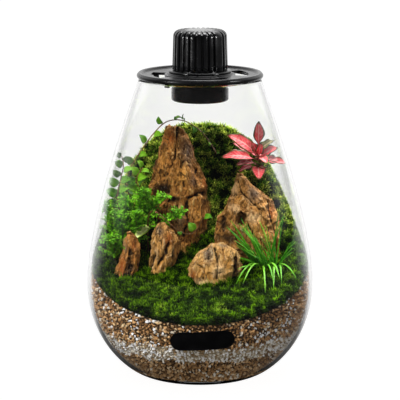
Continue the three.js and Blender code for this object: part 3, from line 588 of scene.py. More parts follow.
def lid():
    """A ring with a rounded bead, a sunk web with four curved vents, a raised hub and four lugs."""
    plastic = black_surface("lid_black", PLASTIC, **MOULDED)
    low, bead_in = LID_REST, LID_RADIUS - 4.6
    web_low, web_high = low + 1, low + 3
    profile = [
        (HUB["bore"], web_low), (bead_in, web_low), (bead_in, low),
        (LID_RADIUS - 1.2, low), (LID_RADIUS, low + 1.4), (LID_RADIUS, low + 2.9), (LID_RADIUS - 1.5, low + 4.6),
        (bead_in + 0.9, low + 4.3), (bead_in, web_high),
        (HUB["foot"], web_high), (HUB["top"], low + 4.4), (HUB["bore"], low + 4.4),
    ]
    ring = new_piece("lid_body", *revolved(eased(profile, 0.5, closed=True), 160, closed=True), plastic)
    for quarter in range(4):
        cut_out(ring, vent_cutter(math.radians(-90 + LUG_TURN + 90 * quarter)))
    pieces = [ring]
    for quarter in range(4):
        turn = math.radians(-45 + LUG_TURN + 90 * quarter)
        block = box_points(LUG["size"], (LUG["radius"], 0, web_low - LUG["drop"]), turn)
        pieces.append(bevelled(new_piece("lug", *block, plastic), 0.4))
    return finished(creased(joined("lid_black", pieces), 35), "lid_plastic", "lid_ring")


def lamp_collar():
    """The smooth sleeve that hangs in the jar, with a bevelled flange that sits on the lid's hub."""
    c = COLLAR
    profile = [
        (c["bore"], c["mouth"] + 0.5), (c["radius"] - 1.2, c["mouth"]), (c["radius"], c["mouth"] + 1.2),
        (c["radius"], c["seat"]), (c["flange"], c["seat"]), (c["flange"], c["top"] - 0.6),
        (c["flange"] - 0.6, c["top"]), (c["bore"], c["top"]),
    ]
    points, faces = revolved(eased(profile, 0.45, closed=True), 144, closed=True)
    plastic = black_surface("collar_black", {**PLASTIC, "gloss": (0.75, 0.2, 0.32)}, **MOULDED)
    sleeve = creased(new_piece("collar_black", points, faces, plastic), 50)
    return finished(sleeve, "lamp_plastic", "lamp_collar")


def groove_depth(rib, offset):
    """How deep the sink is cut at an offset from a groove's middle, in rib pitches. Ribs are crowned."""
    if rib in PLAIN_RIBS:
        return 0.0
    crown = GROOVE["crown"] * (1 - math.cos(2 * math.pi * offset)) / 2
    share = abs(offset) / GROOVE["half_share"]
    deeper = (GROOVE["depth"] - GROOVE["crown"]) * (1 - smooth_step((share - 0.55) / 0.6))
    return GROOVE["crown"] - crown + deeper


def heat_sink():
    """Ribs stand between round-edged grooves, which run over the shoulder to a plain disc."""
    s = SINK
    knee = s["high_radius"] - s["shoulder"]
    levels = [(s["low_radius"] - 0.5, s["foot"], 1, 0), (s["low_radius"], s["foot"] + 0.5, 1, 0)]
    start, narrower = s["straight"], s["high_radius"] - s["low_radius"]
    higher = s["top"] - s["shoulder"] - start
    levels += [(s["low_radius"] + narrower * i / 6, start + higher * i / 6, 1, 0) for i in range(1, 7)]
    for i in range(1, 9):
        bend = math.pi / 2 * i / 8
        height = s["top"] - s["shoulder"] * (1 - math.sin(bend))
        levels.append((knee + s["shoulder"] * math.cos(bend), height, 1 - 0.15 * i / 8, bend))
    levels += [(knee - 6 * i / 5, s["top"], 0.85 * (1 - (i / 5) ** 2), math.pi / 2) for i in range(1, 6)]
    columns = RIBS * PER_RIB
    points = []
    for radius, height, cut, bend in levels:
        for column in range(columns):
            rib, step = divmod(column, PER_RIB)
            offset = (step + 0.5) / PER_RIB - 0.5
            turn = FIRST_GROOVE + 2 * math.pi * (rib + offset) / RIBS
            depth = groove_depth(rib, offset) * cut
            reach = radius - depth * math.cos(bend)
            points.append(polar(reach, turn, height - depth * math.sin(bend)))
    last = (len(levels) - 1) * columns
    faces = [*quads(len(levels), columns), list(range(last, last + columns)), list(reversed(range(columns)))]
    sink = new_piece("sink", points, faces, black_surface("black_metal", METAL, **LACQUERED))
    cut_out(sink, new_piece("pocket", *socket_block(SOCKET["gap"])))
    spigot = new_piece("spigot", *revolved(SPIGOT, 96), sink.data.materials[0])
    return finished(creased(joined("sink_black", [sink, spigot]), 50), "lamp_metal", "heat_sink")


def socket_block(room=0.0):
    """The power socket's block, or the pocket that it sits in, which is larger all round."""
    place = (SOCKET["radius"], 0, SOCKET["height"])
    return box_points([side + room for side in SOCKET["size"]], place, SOCKET["turn"])


def power_socket():
    """A rounded block with a round hole and a contact pin."""
    plastic = black_surface(
        "socket_black", {**PLASTIC, "colours": ("111113", "1c1c1f"), "gloss": (0.75, 0.34, 0.46)}, **MOULDED
    )
    block = bevelled(new_piece("block", *socket_block(), plastic), 0.5)
    lying = Matrix.Rotation(SOCKET["turn"], 4, "Z") @ Matrix.Translation((0, 0, SOCKET["height"]))
    lying @= Matrix.Rotation(math.pi / 2, 4, "Y")

    def bar(radius, start, end, *materials):
        points, faces = revolved([(0, start), (radius, start), (radius, end), (0, end)], 40)
        return new_piece("bar", [tuple(lying @ Vector(p)) for p in points], faces, *materials)

    cut_out(block, bar(2.9, 13.7, 24))
    pin, tree, shader = new_material("socket_pin", Metallic=1.0)
    wear = noise_field(tree, object_place(tree), 700, detail=3)
    painted(tree, shader, mixed(tree, wear, "b9b4a6", "e6e2d6"), ranged(tree, wear, 0.3, 0.7, 0.2, 0.35))
    whole = joined("socket_black", [block, bar(0.8, 13, 20.7, pin)])
    return finished(creased(whole, 40), "socket_plastic", "power_socket")


def lamp_light():
    """The round board, its emitter and the clear disc below them, all with eased edges."""
    materials = (circuit_board(), yellow_phosphor(), frosted_lens())
    for material, (name, (node, slot, radius, low, high)) in zip(materials, LAMP_DISCS.items()):
        profile = eased([(0, low), (radius, low), (radius, high), (0, high)], 0.3)
        finished(creased(new_piece(name, *revolved(profile, 96), material), 50), slot, node)


def blank_label():
    """A bare black plate with round ends and a thin raised border, bent to the jar."""
    half = LABEL["height"] / 2
    straight = LABEL["width"] / 2 - half
    outline = []
    for end in (1, -1):
        for i in range(24):
            turn = -math.pi / 2 * end + math.pi * i / 23
            outline.append((end * straight, math.cos(turn), math.sin(turn)))
        for i in range(1, 24):
            outline.append((end * straight * (1 - 2 * i / 24), 0, end))
    face = LABEL["gap"] + LABEL["face"]
    border = [(1, LABEL["gap"]), (1, face - 0.15), (0.985, face), (0.93, face), (0.9, face - 0.22)]
    border += [(0.9 * (1 - i / 6), face - 0.22) for i in range(1, 7)]
    rings = border + [(0, LABEL["gap"])] + [(0.9 * i / 6, LABEL["gap"]) for i in range(1, 6)]
    lean = math.radians(LABEL["turn"])
    points, faces = [], []
    for share, offset in rings:
        for middle, side, up in outline:
            along, across = middle + half * share * side, half * share * up
            x = LABEL["x"] + along * math.cos(lean) - across * math.sin(lean)
            z = LABEL["z"] + along * math.sin(lean) + across * math.cos(lean)
            radius = outer_radius(z) + offset
            points.append((x, -math.sqrt(radius * radius - x * x), z))
    count = len(outline)
    for i in range(len(rings)):
        if i == len(border) - 1:
            continue
        a, b = i * count, (i + 1) % len(rings) * count
        faces += [[a + j, a + (j + 1) % count, b + (j + 1) % count, b + j] for j in range(count)]
    film = black_surface("label_black", FILM, Specular_IOR_Level=0.12)
    return finished(tidied(new_piece("label_black", points, faces, film)), "label_film", "front_label")


# ------------------------------------------------------------------ soil layers


def meeting(height, turn, inset):
    """How far out a surface of this height meets the inside of the glass in one direction."""
    near, far = 30, 90
    for _ in range(18):
        radius = (near + far) / 2
        level = height(radius * math.cos(turn), radius * math.sin(turn))
        if radius < inner_radius(level) - inset:
            near = radius
        else:
            far = radius
    return near


def layer_body(name, foot, top, inset, rings, covered, *materials, sides=180):
    """A closed body between two surfaces, pressed against the glass.

    rings counts the rings on the foot, the wall and the top. covered says how thickly each of the three
    is covered by loose grains or shoots.
    """
    foot_rings, wall_rings, top_rings = rings
    columns, cover = [], []
    for j in range(sides):
        turn = 2 * math.pi * j / sides
        across, deep = math.cos(turn), math.sin(turn)
        low, high = meeting(foot, turn, inset), meeting(top, turn, inset)

        def on(surface, radius):
            return radius * across, radius * deep, surface(radius * across, radius * deep)

        column = [on(foot, low * i / foot_rings) for i in range(1, foot_rings)]
        start, end = on(foot, low)[2], on(top, high)[2]
        for i in range(wall_rings + 1):
            level = start + (end - start) * i / wall_rings
            radius = low if i == 0 else high if i == wall_rings else inner_radius(level) - inset
            column.append((radius * across, radius * deep, level))
        column += [on(top, high * (1 - i / top_rings)) for i in range(1, top_rings)]
        columns.append(column)
        for share, count in zip(covered, (foot_rings - 1, wall_rings + 1, top_rings - 1)):
            cover += [share] * count
    count = len(columns[0])
    points = [point for column in columns for point in column]
    points += [(0, 0, foot(0, 0)), (0, 0, top(0, 0))]
    cover += [covered[0], covered[2]]
    below, above = len(points) - 2, len(points) - 1
    faces = []
    for j in range(sides):
        here, there = j * count, (j + 1) % sides * count
        faces.append([below, there, here])
        faces += [[here + i, there + i, there + i + 1, here + i + 1] for i in range(count - 1)]
        faces.append([here + count - 1, there + count - 1, above])
    body = new_piece(name, points, faces, *materials)
    mark(body.data, "cover", cover)
    return body


def new_growth(name, **inputs):
    """An empty geometry tree with named inputs, given as name=(kind of socket, default)."""
    tree = bpy.data.node_groups.new(name, "GeometryNodeTree")
    tree.interface.new_socket("Geometry", in_out="INPUT", socket_type="NodeSocketGeometry")
    tree.interface.new_socket("Geometry", in_out="OUTPUT", socket_type="NodeSocketGeometry")
    for key, (kind, default) in inputs.items():
        socket = tree.interface.new_socket(key, in_out="INPUT", socket_type="NodeSocket" + kind)
        if default is not None:
            socket.default_value = default
    return tree, tree.nodes.new("NodeGroupInput").outputs


def grown(piece, tree, **values):
    """The piece with what a geometry tree grows on it."""
    modifier = piece.modifiers.new(tree.name, "NODES")
    modifier.node_group = tree
    for socket in tree.interface.items_tree:
        if socket.in_out == "INPUT" and socket.name in values:
            modifier[socket.identifier] = values[socket.name]
    return applied(piece)


def random_between(tree, low, high, seed, kind="FLOAT"):
    """A random number for each point. Vectors take a pair of triples."""
    first, output = (0, 0) if kind == "FLOAT_VECTOR" else (2, 1)
    inputs = {first: low, first + 1: high, "Seed": seed}
    return add_node(tree, "FunctionNodeRandomValue", inputs, data_type=kind).outputs[output]


def added(tree, first, second):
    """The sum of two vectors."""
    return add_node(tree, "ShaderNodeVectorMath", {0: first, 1: second}, operation="ADD").outputs[0]


def aimed(tree, axis, inputs, **settings):
    """A rotation that points an axis along a vector."""
    return add_node(tree, "FunctionNodeAlignRotationToVector", inputs, axis=axis, **settings).outputs[0]


def shaded_copies(tree, points, shape, rotation, turn, scale, seed):
    """Copies of an object on points, turned about themselves. Each carries a random shade."""
    inputs = {"Rotation": rotation, "Rotate By": turn}
    turned = add_node(tree, "FunctionNodeRotateRotation", inputs, rotation_space="LOCAL").outputs[0]
    original = add_node(tree, "GeometryNodeObjectInfo", {"As Instance": True, "Object": shape})
    inputs = {"Points": points, "Instance": original.outputs["Geometry"], "Rotation": turned, "Scale": scale}
    copies = add_node(tree, "GeometryNodeInstanceOnPoints", inputs).outputs[0]
    inputs = {"Name": "shade", "Geometry": copies, "Value": random_between(tree, 0.0, 1.0, seed)}
    settings = {"data_type": "FLOAT", "domain": "INSTANCE"}
    return add_node(tree, "GeometryNodeStoreNamedAttribute", inputs, **settings).outputs[0]


def completed(tree, parts, **finish):
    """Joins the parts, makes their copies real and gives them their material."""
    whole = add_node(tree, "GeometryNodeJoinGeometry")
    for part in parts:
        tree.links.new(part, whole.inputs[0])
    real = add_node(tree, "GeometryNodeRealizeInstances", {"Geometry": whole.outputs[0]})
    last = add_node(tree, "GeometryNodeSetMaterial", {"Geometry": real.outputs[0], **finish})
    add_node(tree, "NodeGroupOutput", {"Geometry": last.outputs[0]})
    return tree


def scattering():
    """Scatters a shape over a body where its cover attribute says so, and keeps the body.

    Each copy is turned at random about the surface and carries a random shade.
    """
    tree, given = new_growth(
        "scattered shapes",
        Shape=("Object", None), Spacing=("Float", 0.003), Smallest=("Float", 0.8), Largest=("Float", 1.2),
        Tumble=("Vector", (3.2, 3.2, 3.2)), Uprightness=("Float", 0.0), Seed=("Int", 0), Finish=("Material", None),
    )
    cover = add_node(tree, "GeometryNodeInputNamedAttribute", {"Name": "cover"}, data_type="FLOAT").outputs[0]
    inputs = {
        "Mesh": given["Geometry"], "Density Max": 9e6, "Density Factor": cover,
        "Distance Min": given["Spacing"], "Seed": given["Seed"],
    }
    spots = add_node(tree, "GeometryNodeDistributePointsOnFaces", inputs, distribute_method="POISSON").outputs
    upwards = add_node(tree, "ShaderNodeCombineXYZ", {"Z": given["Uprightness"]}).outputs[0]
    standing = aimed(tree, "Z", {"Vector": added(tree, spots["Normal"], upwards)})
    inputs = {0: given["Tumble"], 3: -1.0}
    against = add_node(tree, "ShaderNodeVectorMath", inputs, operation="SCALE").outputs[0]
    tumble = random_between(tree, against, given["Tumble"], 11, "FLOAT_VECTOR")
    size = random_between(tree, given["Smallest"], given["Largest"], 23)
    copies = shaded_copies(tree, spots["Points"], given["Shape"], standing, tumble, size, 37)
    return completed(tree, (given["Geometry"], copies), Material=given["Finish"])


def broken_grain():
    """One broken granule a millimetre across: a rough lump with flat faces."""
    rng = random.Random(5)
    mesh = bmesh.new()
    for _ in range(9):
        way = Vector((rng.gauss(0, 1), rng.gauss(0, 1), rng.gauss(0, 0.8))).normalized()
        mesh.verts.new(way * rng.uniform(0.42, 0.55) * MM)
    bmesh.ops.convex_hull(mesh, input=mesh.verts)
    bmesh.ops.delete(mesh, geom=[v for v in mesh.verts if not v.link_faces], context="VERTS")
    grain = new_piece("broken_grain", [], [])
    mesh.to_mesh(grain.data)
    mesh.free()
    return grain


# Each layer: its node, slot and material, its grains' tones by share and the tone between them, how far pale
# ones drift into patches, the grains' size in millimetres and spacing in sizes, how thickly they cover its
# foot, wall and top, and its seed.
LAYERS = {
    "gravel_grains": {
        "node": "gravel_layer", "slot": "gravel", "look": "brown_gravel", "packed": "46341f", "drift": 0.2,
        "tones": (
            (0.05, "705234"), (0.3, "a07a4e"), (0.55, "bf9462"), (0.8, "d8b07e"), (0.93, "eacfa6"), (1, "fbf4e4"),
        ),
        "size": 3.1, "spacing": 0.68, "covered": (1, 1, 0), "seed": 3,
    },
    "pumice_grains": {
        "node": "pumice_layer", "slot": "pumice", "look": "pale_pumice", "packed": "a49478", "drift": 0.2,
        "tones": ((0.05, "7e6242"), (0.2, "b4966c"), (0.34, "ded2ba"), (0.55, "f8f4ea"), (0.8, "ffffff")),
        "size": 2.7, "spacing": 0.66, "covered": (0, 1, 0), "seed": 5,
    },
    "soil_grains": {
        "node": "soil", "slot": "soil_grains", "look": "soil_grains", "packed": "46341f", "drift": 0.26,
        "tones": (
            (0.05, "6f5031"), (0.28, "a3784a"), (0.5, "c0915c"), (0.75, "daaf7a"),
            (0.88, "e2c89d"), (0.95, "fbf6ea"), (1, "ffffff"),
        ),
        "size": 2.9, "spacing": 0.68, "covered": (0, 1, 0), "seed": 7,
    },
}


def grain_material(name, *stops, packed, drift):
    """Loose grains: each takes a colour of its own, with a gritty surface. drift adds pale ones in patches."""
    material, tree, shader = new_material(name, Roughness=0.92, Specular_IOR_Level=0.2)
    place = object_place(tree)
    patch = ranged(tree, noise_field(tree, place, 48, detail=3), 0.5, 0.64, 0, drift)
    shade = attribute(tree, "shade")
    loose = sums(tree, "MULTIPLY", sums(tree, "GREATER_THAN", shade, 0), patch)
    own = colour_ramp(tree, sums(tree, "ADD", shade, loose), (0, packed), (0.02, stops[0][1]), *stops)
    grit = noise_field(tree, place, 1500, detail=4, roughness=0.7)
    worn = mixed(tree, ranged(tree, grit, 0.4, 0.75, 0, 0.4), own, "7a5c40", "MULTIPLY")
    painted(tree, shader, worn)
    bumped(tree, shader, grit, 0.6, 0.4)
    return material


def jar_floor(x, y):
    return FLOOR + 0.4


def uneven(level, broad, fine):
    """A layer's rolling top at a level, as a function of x and y. broad and fine choose the noise's slices."""

    def height(x, y):
        rolling = 3.8 * noise.noise(Vector((x / 15, y / 15, broad)))
        return level + rolling + 1.5 * noise.noise(Vector((x / 4, y / 4, fine)))

    return height


def soil_layers(scatter):
    """Brown gravel at the foot, a pale pumice band, and granular soil that follows the hill.

    Each layer is packed with its own grains, pressed against the glass in two depths.
    """
    grain = broken_grain()
    foot = jar_floor
    tops = (uneven(GRAVEL_TOP, 1.3, 8), uneven(PUMICE_TOP, 5.1, 2), soil_height)
    for (name, layer), top in zip(LAYERS.items(), tops):
        material = grain_material(layer["look"], *layer["tones"], packed=layer["packed"], drift=layer["drift"])
        size = layer["size"]
        for depth, (part, inset) in enumerate(((name, 0.62), (name + "_deep", 1.15))):
            piece = layer_body(part, foot, top, inset * size, (8, 6, 4), layer["covered"], material)
            grown(
                piece, scatter, Shape=grain, Spacing=layer["spacing"] * size * MM, Smallest=0.7 * size,
                Largest=1.35 * size, Seed=layer["seed"] + depth, Finish=material,
            )
            finished(kept_inside(piece), layer["slot"], *([] if depth else [layer["node"]]))
        foot = top
    bpy.data.objects.remove(grain)


# ------------------------------------------------------------------ moss


def moss_shoot():
    """One shoot a millimetre long: a straight tip and five leaves that lean out round it."""
    points, faces, tips = [], [], []
    for i in range(6):
        around = 2 * math.pi * i / 5
        lean = 0 if i == 5 else 0.6 + 0.35 * (i % 2)
        tip = Vector((math.cos(around) * math.sin(lean), math.sin(around) * math.sin(lean), math.cos(lean)))
        tip *= 1 if i == 5 else 0.78
        root = Vector((0, 0, 0 if i == 5 else 0.12))
        first = len(points)
        for j in range(3):
            turn = 2 * math.pi * j / 3 + around
            points.append(root + Vector((math.cos(turn), math.sin(turn), 0)) * 0.12)
        points.append(tip)
        tips += [0, 0, 0, 1]
        faces += [[first + j, first + (j + 1) % 3, first + 3] for j in range(3)]
        faces.append([first + 2, first + 1, first])
    shoot = new_piece("moss_shoot", points, faces)
    # The tip mark carries the painted shade that darkens each shoot towards its root.
    mark(shoot.data, "tip", tips)
    return shoot


def moss_green():
    """Moss: fresh green on the cushions and yellow-green at their tips, in patches, with painted shade that makes
    it nearly black in the gaps between cushions and at the shoots' roots, and painted light that turns the hill's
    higher, upward-facing moss yellower.
    """
    material, tree, shader = new_material("moss_green", Roughness=0.9, Specular_IOR_Level=0.03)
    place = object_place(tree)
    patches = noise_field(tree, place, 48, detail=4)
    shade, fullness = attribute(tree, "shade"), attribute(tree, "fullness")
    # Painted shade: the roots and the bed are nearly black, darkest in the gaps between cushions.
    deep = mixed(tree, ranged(tree, fullness, 0.4, 0.95), "050a01", "243c05")
    own = ranged(tree, shade, 0.15, 0.85)
    fresh = mixed(tree, own, "132801", "6ea006")
    yellow = mixed(tree, own, "4a8208", "e4f85c")
    # Painted light: the crest mark brightens the hill's higher, upward-facing moss towards yellow-green.
    crest = ranged(tree, attribute(tree, "crest"), 0.05, 0.7, 0, 0.75)
    bright = mixed(tree, ranged(tree, sums(tree, "ADD", patches, crest), 0.58, 0.82), fresh, yellow)
    # Painted shade: the tips darken too in the gaps between cushions.
    tips = mixed(tree, ranged(tree, fullness, 0.4, 0.78), "0c2002", bright)
    # Painted shade: each shoot runs from the dark root colour at its foot to its tip colour.
    colour = mixed(tree, ranged(tree, attribute(tree, "tip"), 0.15, 0.95), deep, tips)
    painted(tree, shader, colour)
    bumped(tree, shader, noise_field(tree, place, 900, detail=3), 0.5, 0.5)
    return material


MOSS = {"voxel": 1.3, "cushion": 5.6, "sprout": 2.4, "depth": 3.2, "parting": 2}


def moss_fullness(place):
    """How full the moss is at a point: 1 on the crown of a cushion, 0 in the gap between two."""
    bent = place + 1.8 * noise.noise_vector(place / 7)
    broad = 1 - 1.5 * noise.voronoi(bent / MOSS["cushion"])[0][0] ** 2
    fine = 1 - 1.5 * noise.voronoi(bent / MOSS["sprout"])[0][0] ** 2
    return max(0, min(1, 0.62 * broad + 0.38 * fine))


def moss_foot(x, y):
    return soil_height(x, y) + 0.4


def moss_bed(green):
    """The blanket between the soil and the air: an even mesh raised in cushions, with its gaps marked for painted
    shade and its higher, upward-facing parts marked for painted light.
    """
    bed = layer_body("moss_bed", moss_foot, moss_height, 0.7, (6, 4, 56), (0, 1, 1), green, sides=240)
    mesh = evened(bed, MOSS["voxel"]).data
    places, normals = point_values(mesh, "co") / MM, point_values(mesh, "normal")
    fullness = np.array([moss_fullness(Vector(place)) for place in places])
    open_share = np.clip((normals[:, 2] + 0.35) * 2, 0, 1)
    raised = (fullness - 0.6) * MOSS["depth"] * open_share
    set_places(mesh, places + normals * raised[:, None])
    # The fullness mark also carries painted shade into the gaps, and the crest mark carries painted light onto the
    # hill's higher, upward-facing moss.
    mark(mesh, "fullness", fullness)
    mark(mesh, "crest", np.clip((places[:, 2] - 95) / 55, 0, 1) * np.clip(0.4 + normals[:, 2] * 1.6, 0, 1))
    mark(mesh, "cover", (open_share > 0.5) * np.clip(0.45 + fullness, 0, 1))
    return kept_inside(bed)


def moss_part(name, place):
    """Whether a place belongs to a part of the blanket: the front carpet or a half of the hill."""
    if place.y < MOSS["parting"] * MM:
        return name == "moss_carpet"
    return name == ("moss_hill_left" if place.x < 0 else "moss_hill_right")


def moss(scatter):
    """The moss blanket, and its shoots in three parts: on the carpet in front and on each half of the hill.

    Each part grows on a copy of the whole blanket, which is then taken out of it.
    """
    green = moss_green()
    shoot = moss_shoot()
    bed = moss_bed(green)
    for seed, name in enumerate(("moss_carpet", "moss_hill_left", "moss_hill_right")):
        body = new_piece(name, [], [])
        body.data = bed.data.copy()
        cover = body.data.attributes["cover"]
        for i, vertex in enumerate(body.data.vertices):
            if not moss_part(name, vertex.co):
                cover.data[i].value = 0
        core = len(body.data.vertices)
        grown(
            body, scatter, Shape=shoot, Spacing=1.4 * MM, Smallest=2.6, Largest=6.0,
            Tumble=(0.55, 0.55, 3.2), Uprightness=0.8, Seed=40 + seed, Finish=green,
        )
        shoots = bmesh.new()
        shoots.from_mesh(body.data)
        shoots.verts.ensure_lookup_table()
        bmesh.ops.delete(shoots, geom=shoots.verts[:core], context="VERTS")
        shoots.to_mesh(body.data)
        shoots.free()
        finished(kept_inside(body), "moss_green")
    finished(bed, "moss_green", "moss")
    bpy.data.objects.remove(shoot)


# ------------------------------------------------------------------ stones

# Creases and hollows in each stone's face, seen from the front: (points as (x, z), half width, depth).
CREASES = {
    "stone_tall": [
        ([(-17, 195), (-18, 183), (-20, 170)], 1.1, 2.2),
        ([(-20, 170), (-26, 158), (-34, 152)], 1.6, 1.4),
        ([(-31, 147), (-24, 138)], 6.5, 2.6),
        ([(9, 139), (2, 144), (-4, 142), (-9, 139)], 1.8, 3.0),
        ([(-9, 139), (-11, 130), (-10, 120), (-13, 108)], 1.4, 1.5),
        ([(-1, 165), (-3, 150)], 1.4, 1.2),
        ([(-12, 168), (-15, 158), (-13, 148)], 1.4, 1.2),
    ],
    "stone_right": [
        ([(18, 124), (16, 114)], 4.5, 2.4),
        ([(29, 152), (34, 144), (41, 137), (49, 131)], 1.0, 1.4),
        ([(20, 139), (27, 142)], 1.0, 1.2),
        ([(55, 136), (57, 126), (61, 112), (62, 95)], 1.2, 1.6),
        ([(38, 120), (44, 108)], 2.0, 1.4),
        ([(24, 112), (30, 104)], 2.0, 1.4),
    ],
    "stone_front": [
        ([(11, 106), (14, 96), (13, 84)], 1.3, 1.3),
        ([(-2, 95), (3, 91), (2, 84)], 1.2, 1.0),
        ([(29, 98), (29, 90), (27, 80)], 2.2, 3.2),
        ([(5, 108), (7, 100)], 1.6, 1.2),
    ],
    "stone_left": [([(-53, 101), (-55, 90), (-56, 84)], 5.0, 3.0), ([(-59, 108), (-61, 98)], 1.2, 1.0)],
    "stone_middle": [
        ([(-40, 106), (-37, 98), (-42, 86)], 1.5, 2.0),
        ([(-24, 108), (-28, 97), (-36, 88)], 1.6, 2.0),
        ([(-31, 117), (-29, 108)], 1.3, 1.0),
    ],
}
# Coloured places on each stone's face, seen from the front: (colour, x, z, half width, half height). The dark ones
# are painted shadows in its hollows and under its ledges; the others are stains.
STAINS_AND_SHADOWS = {
    "stone_tall": [
        ("grey", -9, 176, 9, 15), ("rust", -24, 186, 8, 9), ("light", 1, 172, 2.0, 13), ("light", 5, 160, 2.5, 8),
        ("gold", -15, 156, 9, 12), ("grey", -5, 153, 5, 9), ("rust", 6, 151, 5, 9), ("dark", -30, 146, 10, 9),
        ("dark", -20, 138, 9, 5), ("gold", 0, 128, 7, 14), ("light", -16, 122, 5, 15), ("dark", -37, 165, 3, 14),
        ("gold", -30, 172, 4, 10), ("dark", 6, 136, 5, 4), ("dark", -18, 190, 2, 9),
    ],
    "stone_right": [
        ("light", 25, 146, 6, 9), ("grey", 43, 142, 9, 8), ("rust", 58, 128, 4, 10), ("rust", 62, 105, 6, 18),
        ("light", 43, 126, 10, 6), ("dark", 20, 136, 6, 4), ("dark", 17, 119, 6, 7), ("rust", 12, 122, 2.5, 9),
        ("light", 26, 132, 7, 5), ("dark", 22, 108, 10, 6), ("dark", 33, 123, 4, 6.5), ("gold", 50, 116, 7, 8),
        ("gold", 30, 140, 5, 5),
    ],
    "stone_front": [
        ("grey", 6, 102, 6, 9), ("grey", 20, 109, 9, 3), ("gold", 4, 86, 10, 7), ("light", 15, 90, 7, 8),
        ("rust", -6, 86, 5, 7), ("dark", 30, 90, 2.5, 10), ("light", 0, 80, 12, 5), ("gold", 22, 94, 5, 9),
    ],
    "stone_left": [
        ("dark", -54, 93, 5, 9), ("rust", -62, 92, 4, 14), ("grey", -54, 90, 5, 7), ("light", -60, 106, 2, 8),
        ("rust", -50, 108, 4, 6),
    ],
    "stone_middle": [
        ("light", -34, 100, 4, 9), ("rust", -24, 112, 6, 7), ("dark", -20, 100, 3, 10), ("grey", -31, 118, 5, 5),
        ("gold", -30, 92, 8, 6),
    ],
}
# Their colours; the dark one paints shadows.
STAIN_AND_SHADOW_COLOURS = {"grey": "625850", "rust": "a8541e", "gold": "cf9040", "light": "f2c890", "dark": "1c110a"}
# Each stone's colours: a dark one for its darkest streaks, cracks and grit and for the painted shade in its
# creases, its body in two tones, and a light one for its palest streaks and grit and for the painted highlights on
# its ridges.
STONE_COLOURS = {
    "stone_tall": ("150c06", "74491f", "b97d3c", "f2c076"),
    "stone_right": ("160e07", "84592a", "c68c48", "f4ca8c"),
    "stone_front": ("26180c", "b07c3e", "e2b068", "ffe4b0"),
    "stone_left": ("170e07", "98602e", "d29048", "fccc8c"),
    "stone_middle": ("160e07", "946632", "d49c54", "fbd092"),
}
VOXEL = 0.75
# How strongly each stone is weathered, against the tall one's full relief.
WEATHERED = {
    "stone_tall": 0.85, "stone_right": 0.75, "stone_front": 0.55, "stone_left": 0.75, "stone_middle": 0.8,
}


def distance_to_line(places, line):
    """How far each (x, z) place lies from a bent line."""
    best = np.full(len(places), 1e9)
    for a, b in zip(line, line[1:]):
        a, b = np.array(a, float), np.array(b, float)
        share = np.clip((places - a) @ (b - a) / ((b - a) @ (b - a)), 0, 1)
        nearest = a + share[:, None] * (b - a)
        best = np.minimum(best, np.linalg.norm(places - nearest, axis=1))
    return best


def stone_relief(place, seed):
    """How far the weathered skin stands out at a point: flutes, ledges, pits and grain, in millimetres."""
    shift = Vector((seed, 2 * seed, 0))
    bent = place + 3.5 * noise.noise_vector(place / 17 + shift)

    def ridges(scaled, octaves=3):
        return noise.ridged_multi_fractal(scaled + shift, 0.9, 2.1, octaves, 0.8, 2.0)

    flutes, ledges = ridges(Vector((bent.x / 9, bent.y / 9, bent.z / 28))), ridges(bent / 7)
    grain = ridges(Vector((bent.x / 2.6, bent.y / 2.6, bent.z / 9)), 2)
    near, next_near = noise.voronoi(Vector((bent.x, bent.y, 0.6 * bent.z)) / 4.2 + shift)[0][:2]
    cracks = max(0, 0.16 - (next_near - near)) / 0.16
    pit = max(0, 0.42 - near) * (1 if noise.noise(place / 9 + shift) > 0 else 0.15)
    return 2.1 * (flutes - 1) + 1.3 * (ledges - 1) + 0.55 * (grain - 1) - 3.2 * pit - 0.6 * cracks


def smoothed_over(values, edges, passes):
    """Values averaged with their neighbours' over a mesh, several times."""
    count = np.bincount(edges.ravel(), minlength=len(values))
    for _ in range(passes):
        total = np.bincount(edges[:, 0], values[edges[:, 1]], len(values))
        total += np.bincount(edges[:, 1], values[edges[:, 0]], len(values))
        values = 0.5 * values + 0.5 * total / np.maximum(count, 1)
    return values


